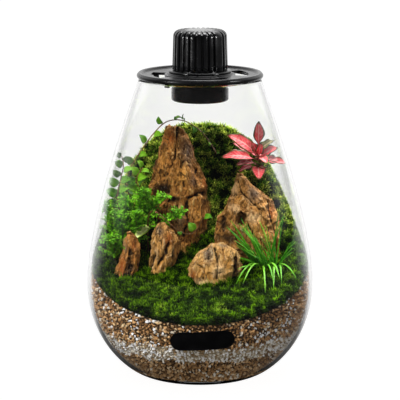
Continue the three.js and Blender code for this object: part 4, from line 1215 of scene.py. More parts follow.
def stone_material(name, colours):
    """Weathered stone: streaked, stained, cracked and gritty, with painted shade darkening its creases and
    hollows, painted highlights lightening its ridges, and painted shadows in its dark patches.
    """
    dark, low, high, light = colours
    material, tree, shader = new_material(name, Specular_IOR_Level=0.2)
    upright = object_place(tree, (1, 1, 0.3))
    streaks = noise_field(tree, upright, 190, detail=9, roughness=0.78, distortion=1.2)
    grit = noise_field(tree, object_place(tree, (1, 1, 0.42)), 560, detail=6, roughness=0.8)
    colour = colour_ramp(tree, streaks, (0.36, dark), (0.44, low), (0.51, high), (0.58, high), (0.68, light))
    # Each stain, and the dark kind, which paints shadows, as patches in the streaks.
    for stain_and_shadow, code in STAIN_AND_SHADOW_COLOURS.items():
        patch = sums(tree, "MULTIPLY", attribute(tree, stain_and_shadow), ranged(tree, streaks, 0.38, 0.56, 0.45, 1))
        colour = mixed(tree, patch, colour, code)
    # Painted highlight on the ridges and painted shade in the creases and hollows, by the relief mark.
    relief = attribute(tree, "relief")
    colour = mixed(tree, ranged(tree, relief, 0.54, 0.82, 0, 0.7), colour, light)
    colour = mixed(tree, ranged(tree, relief, 0.47, 0.2, 0, 0.96), colour, dark)
    inputs = {"Scale": 230, "Vector": upright}
    cells = add_node(tree, "ShaderNodeTexVoronoi", inputs, feature="DISTANCE_TO_EDGE").outputs["Distance"]
    cracks = sums(tree, "MULTIPLY", ranged(tree, cells, 0.07, 0.01), ranged(tree, streaks, 0.46, 0.56))
    colour = mixed(tree, sums(tree, "MULTIPLY", cracks, 0.8), colour, dark)
    colour = mixed(tree, ranged(tree, grit, 0.53, 0.65, 0, 0.65), colour, dark)
    colour = mixed(tree, ranged(tree, grit, 0.44, 0.33, 0, 0.65), colour, light)
    # Painted shadow: the dark patches darken once more with the crease colour.
    colour = mixed(tree, ranged(tree, attribute(tree, "dark"), 0.45, 1, 0, 0.75), colour, dark)
    painted(tree, shader, colour, ranged(tree, streaks, 0.3, 0.7, 0.75, 0.95))
    bumped(tree, shader, sums(tree, "SUBTRACT", grit, sums(tree, "MULTIPLY", cracks, 0.6)), 1.0, 1.6)
    return material


def stone(name, seed):
    """The solid's stone, made fine, weathered in ledges and pits and cut by its own creases."""
    body = bpy.data.objects.new(name + "_rock", FRAME["nodes"][name].data.copy())
    bpy.context.scene.collection.objects.link(body)
    tidied(body)
    body.data.materials.clear()
    body.data.materials.append(stone_material(name + "_rock", STONE_COLOURS[name]))
    mesh = evened(body, VOXEL, smoothing=10).data
    count = len(mesh.vertices)
    places, normals = point_values(mesh, "co") / MM, point_values(mesh, "normal")
    edges = np.zeros(len(mesh.edges) * 2, dtype=np.int64)
    mesh.edges.foreach_get("vertices", edges)
    raised = WEATHERED[name] * np.array([stone_relief(Vector(place), seed) for place in places])
    facing = np.clip(-normals[:, 1] * 1.6, 0, 1)
    front = places[:, [0, 2]]
    carved = np.zeros(count)
    wander = np.array([noise.noise(Vector(place) / 7 + Vector((seed, 0, 0))) for place in places])
    for line, half_width, depth in CREASES[name]:
        edge = half_width * (1 + 0.3 * wander)
        carved = np.maximum(carved, depth * np.exp(-((distance_to_line(front, line) / edge) ** 2)) * facing)
    shown = np.clip(raised - carved, -5.5, 2.8)
    set_places(mesh, places + normals * shown[:, None])
    # Painted shade and highlight: the relief mark says how far a point lies in a hollow or stands on a ridge, and
    # the material darkens or lightens it by that.
    cavity = shown - smoothed_over(shown, edges.reshape(-1, 2), 16) - 0.15 * carved
    mark(mesh, "relief", np.clip(0.5 + cavity / 2.6, 0, 1))
    # Marks the stains and the painted shadows of the dark kind on the front of the stone.
    for stain_and_shadow in STAIN_AND_SHADOW_COLOURS:
        share = np.zeros(count)
        for kind, x, z, half_width, half_height in STAINS_AND_SHADOWS[name]:
            if kind == stain_and_shadow:
                away = np.hypot((front[:, 0] - x) / half_width, (front[:, 1] - z) / half_height)
                patch = np.clip(1.5 - 1.2 * away + 0.25 * raised, 0, 1) * np.clip(facing + 0.15, 0, 1)
                share = np.maximum(share, patch)
        mark(mesh, stain_and_shadow, share)
    mesh.shade_smooth()
    return finished(body, "weathered_rock", name)


# ------------------------------------------------------------------ leaves, stems and blades


class Sprig:
    """Collects leaves and stems as one mesh, with a shade for each point and a corner map."""

    def __init__(self):
        self.points, self.faces, self.corners, self.shades, self.kinds = [], [], [], [], []

    def add(self, points, faces, corners, shade, kind=0):
        first = len(self.points)
        self.points += points
        self.faces += [[first + i for i in face] for face in faces]
        self.corners += corners
        self.shades += [shade] * len(points)
        self.kinds += [kind] * len(faces)

    def piece(self, name, *materials):
        made = new_piece(name, self.points, self.faces, *materials, corners=self.corners)
        made.data.polygons.foreach_set("material_index", self.kinds)
        mark(made.data, "shade", self.shades)
        return made


def blade_skin(line, face, widths, fold=0.0, ruffle=0.0, waves=3, across_steps=6):
    """A leaf's upper skin along a line: points, faces and (across, along) corners.

    face is the way its upper side looks, widths its half width at each point of the line, fold how far
    its edges rise above the middle, and ruffle how far they wave.
    """
    count = len(line)
    points, corners = [], []
    for i, middle in enumerate(line):
        ahead = line[min(i + 1, count - 1)] - line[max(i - 1, 0)]
        across = ahead.cross(face).normalized()
        up = across.cross(ahead).normalized()
        t = i / (count - 1)
        for j in range(across_steps + 1):
            side = 2 * j / across_steps - 1
            edge = abs(side)
            lift = fold * edge**1.4 * widths[i] / max(widths)
            lift += ruffle * edge**3 * math.sin(2 * math.pi * waves * t + (1.3 if side > 0 else 0))
            points.append(middle + across * (side * widths[i]) + up * lift)
            corners.append((0.5 + side / 2, t))
    return points, quads(count, across_steps + 1, closed=False), corners


def leaf_line(root, tip, face, arch, droop=0.0, steps=12):
    """An arched line from a leaf's root to its tip."""
    along = tip - root
    up = along.cross(face).cross(along).normalized()
    line = []
    for i in range(steps + 1):
        t = i / steps
        line.append(root + along * t + up * (arch * 4 * t * (1 - t)) - Vector((0, 0, droop * t**4)))
    return line


def widths_of(shape, half_width, steps):
    """Half widths along a leaf from a short list of (place, share)."""
    places, shares = zip(*shape)
    return [max(0.04, half_width * float(np.interp(i / steps, places, shares))) for i in range(steps + 1)]


def stem_body(line, thick, thin, sides=7):
    """A round stem that tapers along a line, closed at both ends."""
    points, corners = [], []
    side = Vector((1, 0, 0.01))
    for i, middle in enumerate(line):
        ahead = (line[min(i + 1, len(line) - 1)] - line[max(i - 1, 0)]).normalized()
        side = (side - ahead * side.dot(ahead)).normalized()
        other = ahead.cross(side)
        share = i / (len(line) - 1)
        radius = thick + (thin - thick) * share
        for j in range(sides):
            turn = 2 * math.pi * j / sides
            points.append(middle + (side * math.cos(turn) + other * math.sin(turn)) * radius)
            corners.append((j / sides, share))
    last = (len(line) - 1) * sides
    faces = [list(reversed(range(sides))), *quads(len(line), sides), list(range(last, last + sides))]
    return points, faces, corners


def rooted(foot, points, depth=4.4, steps=8):
    """A stem's line: up out of its hole and on through its points."""
    x, y = foot
    ground = ground_height(x, y)
    return smooth_line([(x, y, ground - depth), (x, y, ground + 1), *points], steps)


def with_thickness(piece, thickness):
    """Gives leaf skins their thickness. The underside and the rim take the next material."""
    solidify = piece.modifiers.new("thickness", "SOLIDIFY")
    solidify.thickness, solidify.offset = thickness * MM, -1
    solidify.material_offset = solidify.material_offset_rim = 1
    return applied(piece)


def leaf_material(name, tones, vein, margin=None, veins=7, gloss=0.5, vein_share=0.6):
    """A leaf with a midrib and slanting side veins along its own corner map, and a margin if it has one.

    Each leaf takes its own tone by its shade.
    """
    material, tree, shader = new_material(name, Specular_IOR_Level=0.25)
    corner = parts_of(tree, add_node(tree, "ShaderNodeUVMap").outputs["UV"])
    across = sums(tree, "ABSOLUTE", sums(tree, "SUBTRACT", sums(tree, "MULTIPLY", corner["X"], 2), 1))
    along = corner["Y"]
    slant = sums(tree, "SUBTRACT", along, sums(tree, "MULTIPLY", across, 0.16))
    phase = sums(tree, "FRACT", sums(tree, "MULTIPLY", slant, veins))
    side_vein = ranged(tree, sums(tree, "ABSOLUTE", sums(tree, "SUBTRACT", phase, 0.5)), 0.12, 0.02)
    midrib = ranged(tree, across, 0.12, 0.03)
    veined = sums(tree, "MAXIMUM", midrib, sums(tree, "MULTIPLY", side_vein, 0.7))
    cloud = noise_field(tree, object_place(tree), 420, detail=4, roughness=0.7)
    stops = [(i / max(1, len(tones) - 1), tone) for i, tone in enumerate(tones)]
    own = colour_ramp(tree, attribute(tree, "shade"), *stops)
    darker = mixed(tree, 1.0, own, "b0a0a0", "MULTIPLY")
    shaded = mixed(tree, ranged(tree, cloud, 0.5, 0.32, 0, 0.5), own, darker)
    body = mixed(tree, ranged(tree, cloud, 0.46, 0.72, 0, 0.5), shaded, vein)
    colour = mixed(tree, sums(tree, "MULTIPLY", veined, vein_share), body, vein)
    if margin:
        edge = sums(tree, "MAXIMUM", ranged(tree, across, 0.66, 0.86), ranged(tree, along, 0.88, 0.98))
        frayed = sums(tree, "MULTIPLY", edge, ranged(tree, cloud, 0.3, 0.5, 0.4, 1))
        colour = mixed(tree, frayed, colour, margin)
    painted(tree, shader, colour, ranged(tree, cloud, 0.3, 0.7, gloss, gloss + 0.15))
    bumped(tree, shader, sums(tree, "SUBTRACT", 1, veined), 0.5, 0.25)
    return material


def stem_material(name, base, light):
    """A stem with lengthwise streaks."""
    material, tree, shader = new_material(name, Roughness=0.6)
    streaks = noise_field(tree, object_place(tree, (1, 1, 0.2)), 800, detail=4)
    painted(tree, shader, mixed(tree, ranged(tree, streaks, 0.35, 0.7), base, light))
    bumped(tree, shader, streaks, 0.3, 0.2)
    return material


# ------------------------------------------------------------------ nerve plant

CROWN = Vector((45.7, 6, 169))
NERVE_FOOT = (46, 23)
# Each leaf from the crown: root, tip, width, stalk share, arch, the way its upper side looks, and its tone.
NERVE_LEAVES = [
    ((0, 0, 0.5), (0.5, -1, 31), 9.5, 0.42, 1.0, (0.3, -1, 0), 0.82),
    ((-1, -1, 3), (-24.5, -7, 21), 12.5, 0.12, 3.5, (0.2, -0.8, 0.7), 0.9),
    ((-0.5, 0, 1), (-20, 4, 13), 8.5, 0.3, 1, (0, -0.6, 1), 0.5),
    ((-0.5, 0, -1.5), (-29.5, -8, 3), 10.5, 0.2, 4, (0, -0.8, 0.9), 0.85),
    ((-0.5, 0, -4), (-17.5, -10, -3), 9, 0.2, 2.5, (0, -0.7, 1), 0.42),
    ((-0.5, 0, -7), (-15.5, -8, -8.5), 7, 0.25, 2, (0, -0.5, 1), 0.45),
    ((0, -1, -5), (0.5, -17, -13), 12.5, 0.2, 2.5, (0, -0.6, 1), 0.95),
    ((0, 0, -1.5), (6.5, -17, 0), 10.5, 0.15, 3, (0, -0.3, 1), 0.78),
    ((0.5, 0, 0), (16, -3, 10.5), 9.5, 0.2, 2, (-0.3, -0.8, 0.8), 0.8),
    ((0.5, 0, -2.5), (16, -7, 0.5), 9.5, 0.2, 2, (0, -0.6, 1), 0.4),
    ((0.5, 0, -3.5), (23, -6, -1.5), 8, 0.35, 2, (0, -0.7, 1), 0.92),
    ((0, 1, 4), (13.5, 2, 15.5), 9, 0.12, 1.5, (-0.1, -0.45, 1), 0.0),
    ((-0.5, 0, 4), (-4.5, -3, 14.5), 6, 0.1, 0.5, (0.2, -1, 0.2), 0.7),
    ((0.5, 0, 2), (2.5, -5, 14), 6.5, 0.15, 0.5, (0, -1, 0.2), 0.75),
    ((0, -1, -6), (-3, -12, -2), 5, 0.1, 1, (0, -0.8, 1), 0.22),
    ((0, -1, -7), (4, -12, -5), 5, 0.1, 1, (0, -0.8, 1), 0.28),
    ((0, 0, -3), (8, 13, 5), 10, 0.2, 2.5, (0, 0, 1), 0.5),
    ((0, 0, -2), (-7, 14, 8), 10, 0.2, 2.5, (0, 0, 1), 0.6),
]
# Half widths along a leaf from its root to its tip: (place, share of the greatest).
OVATE = [
    (0, 0.3), (0.1, 0.66), (0.25, 0.95), (0.4, 1.0), (0.58, 0.9),
    (0.74, 0.66), (0.87, 0.38), (0.96, 0.14), (1, 0.02),
]


def nerve_plant():
    """A rosette of veined coral leaves with thin olive margins on one short stem."""
    leaves, stems = Sprig(), Sprig()
    for root, tip, width, stalk, arch, face, tone in NERVE_LEAVES:
        start, end, looks = CROWN + Vector(root), CROWN + Vector(tip), Vector(face)
        line = leaf_line(start, end, looks, arch, droop=0.8, steps=18)
        blade = [(stalk + 0.02 + (0.98 - stalk) * place, share) for place, share in OVATE]
        shape = [(0, 0.09), (stalk, 0.12), *blade]
        leaves.add(*blade_skin(line, looks, widths_of(shape, width / 2, 18), 1.3, 0.7, 3, 8), tone)
    line = rooted(NERVE_FOOT, [CROWN + Vector((0, 1, -9)), CROWN], 8)
    stems.add(*stem_body(line, 1.1, 0.8), 0.5)
    tones = ("6c7a1c", "7a3a18", "a8182a", "dc2638", "f93c48", "ff5a60")
    upper = leaf_material("nerve_leaf", tones, "ffc4ba", margin="3a4a0c", veins=10, vein_share=0.7)
    tones = ("6b5a25", "7d1f2c", "c25058")
    under = leaf_material("nerve_leaf_underside", tones, "d98a86", margin="3f4a20", veins=8)
    piece = with_thickness(leaves.piece("nerve_leaves", upper, under), 0.35)
    stalk = stems.piece("nerve_stem", stem_material("nerve_stem", "6f7a35", "a3a35e"))
    return finished(joined("nerve_plant", [piece, stalk]), "fittonia_leaf", "fittonia")


# ------------------------------------------------------------------ grass

TUFT = {"x": 53.5, "y": -21, "spread": 9.5, "length": 43, "upright": 48, "fallen": 9}
NARROW = [(0, 0.75), (0.15, 1), (0.5, 0.95), (0.8, 0.65), (1, 0.03)]


def grass_line(base, turn, lean, length, droop, steps=9):
    """One blade's middle: it rises, leans out and bends down under its weight."""
    out = Vector((math.cos(turn), math.sin(turn), 0))
    rise, reach = length * math.cos(lean), length * math.sin(lean)
    line = []
    for i in range(steps + 1):
        t = i / steps
        line.append(base + out * (reach * t**1.2) + Vector((0, 0, rise * t - droop * t**2)))
    return line


def grass_tuft():
    """Upright blades that fan to both sides, and some that fall forwards over the moss."""
    rng = random.Random(7)
    ground = ground_height(TUFT["x"], TUFT["y"])
    blades = Sprig()

    def grow(share, turn, lean, length, droop, half_width, tone):
        x, y = TUFT["x"] + TUFT["spread"] * share, TUFT["y"] + rng.uniform(-2.6, 1.6)
        base = Vector((x, y, ground - 1.5))
        line = grass_line(base, turn, lean, length, droop)
        face = Vector((-math.cos(turn), -math.sin(turn) - 0.6, 0.8))
        blades.add(*blade_skin(line, face, widths_of(NARROW, half_width, 9), 0.3, across_steps=2), tone)

    for i in range(TUFT["upright"]):
        share = 2 * (i + 0.5) / TUFT["upright"] - 1
        right, low = share > 0.72, i % 9 == 2
        other_way = not right and rng.random() < 0.2 + 0.3 * share
        turn = -0.35 - 0.5 * rng.random() if right or other_way else math.pi + rng.uniform(-0.5, 0.9)
        lean = 18 + 22 * rng.random() if right else 2 + 13 * (1 - share) + 14 * rng.random() + 28 * low
        lean *= 0.5 if other_way else 1
        length = TUFT["length"] * (rng.uniform(0.5, 0.8) if right or low else rng.uniform(0.6, 1.12))
        droop, half_width = 9 * rng.random(), rng.uniform(0.75, 1.15)
        grow(share, turn, math.radians(lean), length, droop, half_width, 0.75 * rng.random() ** 1.3)
    for i in range(TUFT["fallen"]):
        share = 2 * (i + 0.5) / TUFT["fallen"] - 1
        turn = -math.pi / 2 - 0.5 + rng.random()
        length = TUFT["length"] * rng.uniform(0.8, 1.15)
        lean, half_width = rng.uniform(0.8, 1.1), rng.uniform(0.6, 0.85)
        grow(share, turn, lean, length, 0.68 * length, half_width, rng.uniform(0.45, 0.85))
    tones = ("26680a", "4c9a12", "7cbc2a")
    green = leaf_material("grass_blade", tones, "86c832", veins=0, gloss=0.4, vein_share=0.3)
    tones = ("2a7f06", "55ad18", "93d440")
    under = leaf_material("grass_underside", tones, "8cd04c", veins=0, vein_share=0.2)
    piece = with_thickness(blades.piece("grass_blades", green, under), 0.22)
    return finished(piece, "grass_blade", "grass_tuft")


# ------------------------------------------------------------------ creeping fig

# Each runner: the length of each of its leaves, where it stands and the points it passes.
FIG_RUNNERS = {
    "fig_runner": ((8, 7, 8.5, 7.5, 8, 8.5, 8, 9, 3, 2.5, 2.5), (-56, 14), [
        (-58, 7, 150), (-54, 2, 164), (-45, 3, 178), (-37, 5, 189), (-28, 7, 197.5), (-19, 10, 199.5),
        (-10, 14, 197), (-2, 19, 191), (4, 20, 185), (9, 19, 178), (13.5, 17, 171),
    ]),
    "fig_spray_1": ((8, 9, 10, 9, 10, 9, 10, 9, 8, 9, 8, 7, 6), (-60, 6), [
        (-63, 0, 126), (-65, -4, 140), (-63, -6, 152), (-60, -6, 165), (-61, -6, 173),
    ]),
    "fig_spray_2": ((9, 9, 10, 9, 10, 9, 10, 9, 8, 8, 7), (-45, 12), [
        (-48, 3, 136), (-48, -3, 146), (-50, -6, 155), (-45, -6, 164),
    ]),
    "fig_tendril": ((4, 3, 3, 5, 10, 7), (-41, -5), [
        (-41, -9, 121), (-37, -18, 132), (-28, -23, 127), (-17, -22, 117), (-8, -17, 113), (-2, -14, 117),
        (3, -13, 126),
    ]),
}
# One fading leaf low on a runner.
PALE_LEAF = {"runner": "fig_tendril", "share": 0.26, "reach": (-11, -14, -8)}
HEART = [
    (0, 0.3), (0.06, 0.72), (0.16, 0.95), (0.32, 1.0), (0.5, 0.93),
    (0.68, 0.7), (0.84, 0.38), (0.95, 0.12), (1, 0),
]


def length_along(line, share):
    """The point and direction at a share of a line's length."""
    steps = [0.0]
    for a, b in zip(line, line[1:]):
        steps.append(steps[-1] + (b - a).length)
    wanted = share * steps[-1]
    for i in range(len(line) - 1):
        if steps[i + 1] >= wanted:
            t = (wanted - steps[i]) / max(1e-9, steps[i + 1] - steps[i])
            return line[i].lerp(line[i + 1], t), (line[i + 1] - line[i]).normalized()
    return line[-1], (line[-1] - line[-2]).normalized()


def heart_leaf(root, tip, face, arch, droop, half_width, fold, ruffle):
    line = leaf_line(root, tip, face, arch, droop, 10)
    return blade_skin(line, face, widths_of(HEART, half_width, 10), fold, ruffle, 2)


def creeping_figs():
    """Rounded heart-shaped leaves in turn to either side of thin brown runners."""
    rng = random.Random(12)
    tones = ("1d4802", "3a7a04", "6fa812")
    upper = leaf_material("fig_leaf", tones, "8fbc3c", veins=5, gloss=0.42, vein_share=0.35)
    under = leaf_material("fig_leaf_underside", ("356a10", "5f9024"), "98b860", veins=5)
    pale = leaf_material("pale_leaf", ("c9dc6a", "dcea8c"), "f2f6c8", margin="9cc23c", veins=5, gloss=0.42)
    bark = stem_material("fig_stem", "5a3a1e", "8a6336")
    for name, (sizes, foot, points) in FIG_RUNNERS.items():
        line = rooted(foot, points)
        leaves, stems = Sprig(), Sprig()
        stems.add(*stem_body(line, 0.55, 0.35), 0.5)
        for i, size in enumerate(sizes):
            t = 0.3 + 0.7 * i / (len(sizes) - 1)
            root, along = length_along(line, t)
            side = 1 if i % 2 else -1
            level = 1 - abs(along.z)
            out = along.cross(Vector((0, -1, 0.3))).normalized() * side
            reach = size * (1 - 0.1 * t)
            upright = out * reach + along * (0.35 * reach) + Vector((0, -0.5 - i % 3, 0.2 * reach))
            lying = along * (side * reach) + Vector((0, -1.5, 0.3 * reach))
            tip = root + upright.lerp(lying, level**2)
            turned, forwards, upwards = rng.uniform(-0.6, 0.6), rng.uniform(-1, -0.4), rng.uniform(0.2, 1)
            face = Vector((0.1 * side + turned, forwards + 0.5 * level, upwards + level))
            blade_root = root.lerp(tip, 0.12)
            stems.add(*stem_body([root, root.lerp(tip, 0.08), blade_root], 0.25, 0.2, 5), 0.5)
            leaves.add(*heart_leaf(blade_root, tip, face, 0.9, 0.4, 0.4 * reach, 0.7, 0.2), rng.random())
        pieces = [with_thickness(leaves.piece(name + "_leaves", upper, under), 0.3)]
        if name == PALE_LEAF["runner"]:
            fading = Sprig()
            root = length_along(line, PALE_LEAF["share"])[0]
            tip, face = root + Vector(PALE_LEAF["reach"]), Vector((0.2, -1, 0.9))
            fading.add(*heart_leaf(root, tip, face, 1.6, 0.8, 3.8, 0.9, 0.3), 0.6)
            pieces.append(with_thickness(fading.piece(name + "_fading", pale, pale), 0.3))
        whole = joined(name + "_creeper", [*pieces, stems.piece(name + "_stem", bark)])
        finished(whole, "fig_leaf", name)


# ------------------------------------------------------------------ bush

BUSH_ROOTS = [(-66, -19), (-66, -7), (-59, -10), (-50, -9), (-56, -1), (-50, 2), (-44, 1), (-34.5, -5)]
BUSH_TIPS = [
    (-70, -30, 109), (-74, -16, 136), (-66, -21, 129), (-49, -25, 131),
    (-58, -15, 141), (-42, -15, 146), (-26, -14, 143), (-12, -15, 130),
]
FRONDS = {"count": 13, "lowest": 0.22, "highest": 0.95, "reach": 9.5}
LEAFLET = [(0, 0.1), (0.25, 0.75), (0.55, 1), (0.8, 0.75), (1, 0.05)]


def leafing():
    """Sets pairs of leaflets along a line's edges, smaller towards its end, and gives it a stem."""
    tree, given = new_growth(
        "leafy stem",
        Leaflet=("Object", None), Spacing=("Float", 0.0016), Size=("Float", 4.0), Angle=("Float", 1.0),
        Thickness=("Float", 0.0003), Bark=("Material", None),
    )
    curve = add_node(tree, "GeometryNodeMeshToCurve", {"Mesh": given["Geometry"]}).outputs[0]
    inputs = {"Curve": curve, "Length": given["Spacing"]}
    spaced = add_node(tree, "GeometryNodeResampleCurve", inputs, mode="LENGTH").outputs[0]
    along = aimed(tree, "Y", {"Vector": add_node(tree, "GeometryNodeInputTangent").outputs[0]})
    facing = aimed(tree, "Z", {"Vector": (0.1, -0.6, 0.8), "Rotation": along}, pivot_axis="Y")
    part = add_node(tree, "GeometryNodeSplineParameter").outputs["Factor"]
    inputs = {"Value": part, "From Min": 0.0, "From Max": 1.0, "To Min": 1.05, "To Max": 0.5}
    taper = add_node(tree, "ShaderNodeMapRange", inputs).outputs["Result"]
    sides = []
    for side in (1, -1):
        wobble = random_between(tree, (-0.5, -0.45, -0.35), (0.5, 0.45, 0.35), 3 + side, "FLOAT_VECTOR")
        angle = sums(tree, "MULTIPLY", given["Angle"], side)
        swing = add_node(tree, "ShaderNodeCombineXYZ", {"Z": angle}).outputs[0]
        size = sums(tree, "MULTIPLY", random_between(tree, 0.75, 1.2, 17 + side), given["Size"])
        size = sums(tree, "MULTIPLY", size, taper)
        turn = added(tree, wobble, swing)
        sides.append(shaded_copies(tree, spaced, given["Leaflet"], facing, turn, size, 29 + side))
    inputs = {"Resolution": 5, "Radius": given["Thickness"]}
    section = add_node(tree, "GeometryNodeCurvePrimitiveCircle", inputs).outputs[0]
    inputs = {"Fill Caps": True, "Curve": spaced, "Profile Curve": section}
    stem = add_node(tree, "GeometryNodeCurveToMesh", inputs).outputs[0]
    inputs = {"Name": "stem", "Value": True, "Geometry": stem}
    settings = {"data_type": "BOOLEAN", "domain": "FACE"}
    marked = add_node(tree, "GeometryNodeStoreNamedAttribute", inputs, **settings).outputs[0]
    named = add_node(tree, "GeometryNodeInputNamedAttribute", {"Name": "stem"}, data_type="BOOLEAN")
    return completed(tree, (marked, *sides), Selection=named.outputs[0], Material=given["Bark"])


def bush():
    """A dense bush of feathery sprays: fine stems that fork, with small leaflets in pairs."""
    upper = leaf_material("bush_leaf", ("1c4c02", "66b00a", "ccf648"), "a8dc48", veins=3, vein_share=0.25)
    under = leaf_material("bush_leaf_underside", ("347a0c", "6aae24"), "90c44c", veins=3)
    bark = stem_material("bush_stem", "6a4a26", "8c9a3e")
    leaflet = Sprig()
    above = Vector((0, 0, 1))
    line = leaf_line(Vector((0, 0.05, 0)), Vector((0, 1, 0)), above, 0.1, 0, 4)
    leaflet.add(*blade_skin(line, above, widths_of(LEAFLET, 0.27, 4), 0.06, across_steps=2), 0.5)
    shape_piece = with_thickness(leaflet.piece("bush_leaflet", upper, under), 0.07)
    tree = leafing()
    for number, (foot, tip) in enumerate(zip(BUSH_ROOTS, BUSH_TIPS), 1):
        collar, end = Vector((*foot, ground_height(*foot) + 1)), Vector(tip)
        bend = collar.lerp(end, 0.35) + Vector((0, 1, 12))
        main = smooth_line([collar, bend, end], 10)
        stem = rooted(foot, [bend, length_along(main, 0.6)[0]], steps=4)
        fronds = [main[6:]]
        rng = random.Random(number)
        for i in range(FRONDS["count"]):
            share = FRONDS["lowest"] + (FRONDS["highest"] - FRONDS["lowest"]) * i / (FRONDS["count"] - 1)
            turn = 2.4 * i + number
            reach = FRONDS["reach"] * rng.uniform(0.7, 1.25) * (1.15 - 0.5 * share)
            out = Vector((math.cos(turn), 0.7 * math.sin(turn) - 0.55, rng.uniform(0.3, 1.0))) * reach
            fork = length_along(main, share)[0]
            fronds.append(smooth_line([fork, fork + out * 0.5 + Vector((0, 0, 1.5)), fork + out], 6))
        points, edges = [], []
        for frond in fronds:
            first = len(points)
            points += frond
            edges += [(first + i, first + i + 1) for i in range(len(frond) - 1)]
        lines = new_piece(f"bush_lines_{number}", points, [], edges=edges)
        grown(
            lines, tree, Leaflet=shape_piece, Spacing=1.8 * MM, Size=4.9, Angle=0.95, Thickness=0.22 * MM,
            Bark=bark,
        )
        sprig = Sprig()
        sprig.add(*stem_body(stem, 0.55, 0.35), 0.5)
        whole = joined(f"bush_sprig_{number}", [lines, sprig.piece("bush_stem", bark)])
        finished(kept_inside(whole, 0.4), "bush_leaf", f"bush_spray_{number}")
    bpy.data.objects.remove(shape_piece)


# ------------------------------------------------------------------ studio

# How brightly the floor and the room glow where they are seen, where they light and where they are mirrored.
FLOOR_GLOW = {"seen": 0.95, "lighting": 0.4, "mirrored front": 0.0, "mirrored back": 0.95}
ROOM_GLOW = {"seen": 1.05, "lighting": 0.3, "mirrored front": 0.03, "mirrored back": 0.95}
# Each softbox: its place and the height that it looks at, both in metres, its size and watts, the pieces that
# it lights if not all, and those that it spares.
SOFTBOXES = {
    "top_softbox": ((0.1, 0.25, 1.3), 0.15, 0.7, 12, (), ("jar", "floor")),
    "rim_softbox": ((0.45, 0.5, 0.9), 0.13, 0.5, 30, (), ("jar", "floor", "lid and lamp")),
    "left_strip": ((-0.75, -0.55, 0.4), 0.25, 0.16, 3.6, ("lid and lamp",), ()),
    "right_strip": ((0.7, -0.35, 0.45), 0.25, 0.16, 2.8, ("lid and lamp",), ()),
}
# The photograph's view: a lens in millimetres, a place in metres and how far the view tips down.
CAMERA = {"lens": 162.46, "sensor": 36, "place": (0, -1.4, 0.4243), "tip": 11.6}


def new_lamp(name, kind, way, watts, lit, state):
    """A light that shines against a direction. It lights some pieces only, or spares them."""
    light = bpy.data.lights.new(name, kind)
    light.energy = watts
    lamp = bpy.data.objects.new(name, light)
    lamp.rotation_euler = Vector(way).to_track_quat("Z", "Y").to_euler()
    bpy.context.scene.collection.objects.link(lamp)
    chosen = bpy.data.collections.new(name + "_lit")
    for piece in lit:
        chosen.objects.link(piece)
    for member in chosen.collection_objects:
        member.light_linking.link_state = state
    lamp.light_linking.receiver_collection = chosen
    return lamp


def glow(tree, levels, behind):
    """How brightly a surface of the studio glows: where it is seen, where it lights and where it is mirrored.

    What is mirrored is bright behind the object and dark in front of it, as in a real studio. behind is
    the share of the bright level, from 0 in front to 1 behind.
    """
    path = add_node(tree, "ShaderNodeLightPath").outputs
    seen = sums(tree, "MAXIMUM", path["Is Camera Ray"], path["Is Transmission Ray"])
    mirrored = sums(tree, "MINIMUM", path["Glossy Depth"], 1)
    straight = sums(tree, "MAXIMUM", sums(tree, "MULTIPLY", seen, levels["seen"]), levels["lighting"])
    direct = sums(tree, "MULTIPLY", straight, sums(tree, "SUBTRACT", 1, mirrored))
    rise = sums(tree, "MULTIPLY", behind, levels["mirrored back"] - levels["mirrored front"])
    back = sums(tree, "ADD", rise, levels["mirrored front"])
    return sums(tree, "ADD", direct, sums(tree, "MULTIPLY", mirrored, back))


def pale_floor():
    """A plain white sweep that glows a little, so that shadows on it stay faint."""
    material, tree, shader = new_material("pale_floor", Roughness=0.9, Specular_IOR_Level=0.1)
    shader.inputs["Emission Color"].default_value = (1, 1, 1, 1)
    cloud = noise_field(tree, object_place(tree), 3, detail=2)
    painted(tree, shader, mixed(tree, ranged(tree, cloud, 0.3, 0.7), "8a8a89", "8c8c8b"))
    way = add_node(tree, "ShaderNodeVectorMath", {0: object_place(tree)}, operation="NORMALIZE").outputs[0]
    behind = ranged(tree, parts_of(tree, way)["Y"], 0.35, 0.9)
    tree.links.new(glow(tree, FLOOR_GLOW, behind), shader.inputs["Emission Strength"])
    half, level = 9000, -0.3
    points = [(x * half, y * half, level) for x, y in ((-1, -1), (1, -1), (1, 1), (-1, 1))]
    floor = new_piece("floor", points, [[0, 1, 2, 3]], material)
    return floor


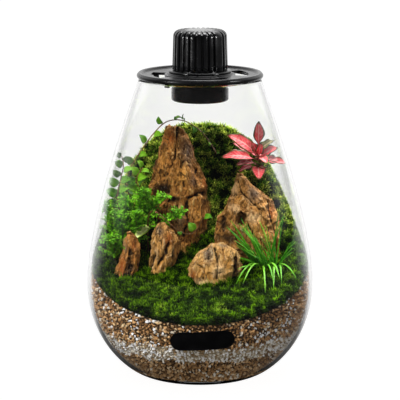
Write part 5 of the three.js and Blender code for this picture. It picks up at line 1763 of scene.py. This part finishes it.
def surroundings():
    """A white room that gives an even, soft light and is hardly mirrored in the glass."""
    world = bpy.data.worlds.new("studio")
    world.use_nodes = True
    tree = world.node_tree
    background = tree.nodes["Background"]
    background.inputs["Color"].default_value = (1, 1, 1, 1)
    parts = parts_of(tree, add_node(tree, "ShaderNodeTexCoord").outputs["Generated"])
    above = sums(tree, "MULTIPLY", ranged(tree, parts["Y"], -0.1, 0.6), ranged(tree, parts["Z"], 0.02, 0.15))
    behind = sums(tree, "MAXIMUM", ranged(tree, parts["Y"], 0.6, 0.95), above)
    tree.links.new(glow(tree, ROOM_GLOW, behind), background.inputs["Strength"])
    bpy.context.scene.world = world


def studio(jar, lid_and_lamp):
    """The room, the floor, a broad light from above and softboxes for the highlights."""
    bpy.context.scene.view_settings.view_transform = "Standard"
    surroundings()
    floor = pale_floor()
    sun = new_lamp("even_light", "SUN", (-0.45, -0.55, 1.0), 3.8, [floor], "EXCLUDE")
    sun.data.angle, sun.visible_glossy = math.radians(12), False
    for name, (place, height, size, watts, lit, spared) in SOFTBOXES.items():
        pieces = {"jar": [jar], "floor": [floor], "lid and lamp": lid_and_lamp}
        chosen = [piece for key in lit or spared for piece in pieces[key]]
        way = Vector(place) - Vector((0, 0, height))
        lamp = new_lamp(name, "AREA", way, watts, chosen, "INCLUDE" if lit else "EXCLUDE")
        lamp.data.shape, lamp.data.size, lamp.location = "SQUARE", size, place


def camera():
    """The photograph's view: nearly level, from the front, with a long lens."""
    view = bpy.data.cameras.new("camera")
    view.lens, view.sensor_width = CAMERA["lens"], CAMERA["sensor"]
    eye = bpy.data.objects.new("camera", view)
    eye.location = CAMERA["place"]
    eye.rotation_euler = (math.radians(90 - CAMERA["tip"]), 0, 0)
    bpy.context.scene.collection.objects.link(eye)
    bpy.context.scene.camera = eye


# ------------------------------------------------------------------ the whole object


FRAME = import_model()
# Vector noise takes its offset from this seed. Without one it starts from the time of day.
noise.seed_set(NOISE_SEED)
SCATTER = scattering()

jar = glass_jar()
lid_and_lamp = [lid(), lamp_collar(), heat_sink(), power_socket()]
lamp_light()
blank_label()
soil_layers(SCATTER)
moss(SCATTER)
for stone_seed, stone_name in enumerate(CREASES, 1):
    stone(stone_name, 1.7 * stone_seed)
nerve_plant()
grass_tuft()
creeping_figs()
bush()
studio(jar, lid_and_lamp)
camera()
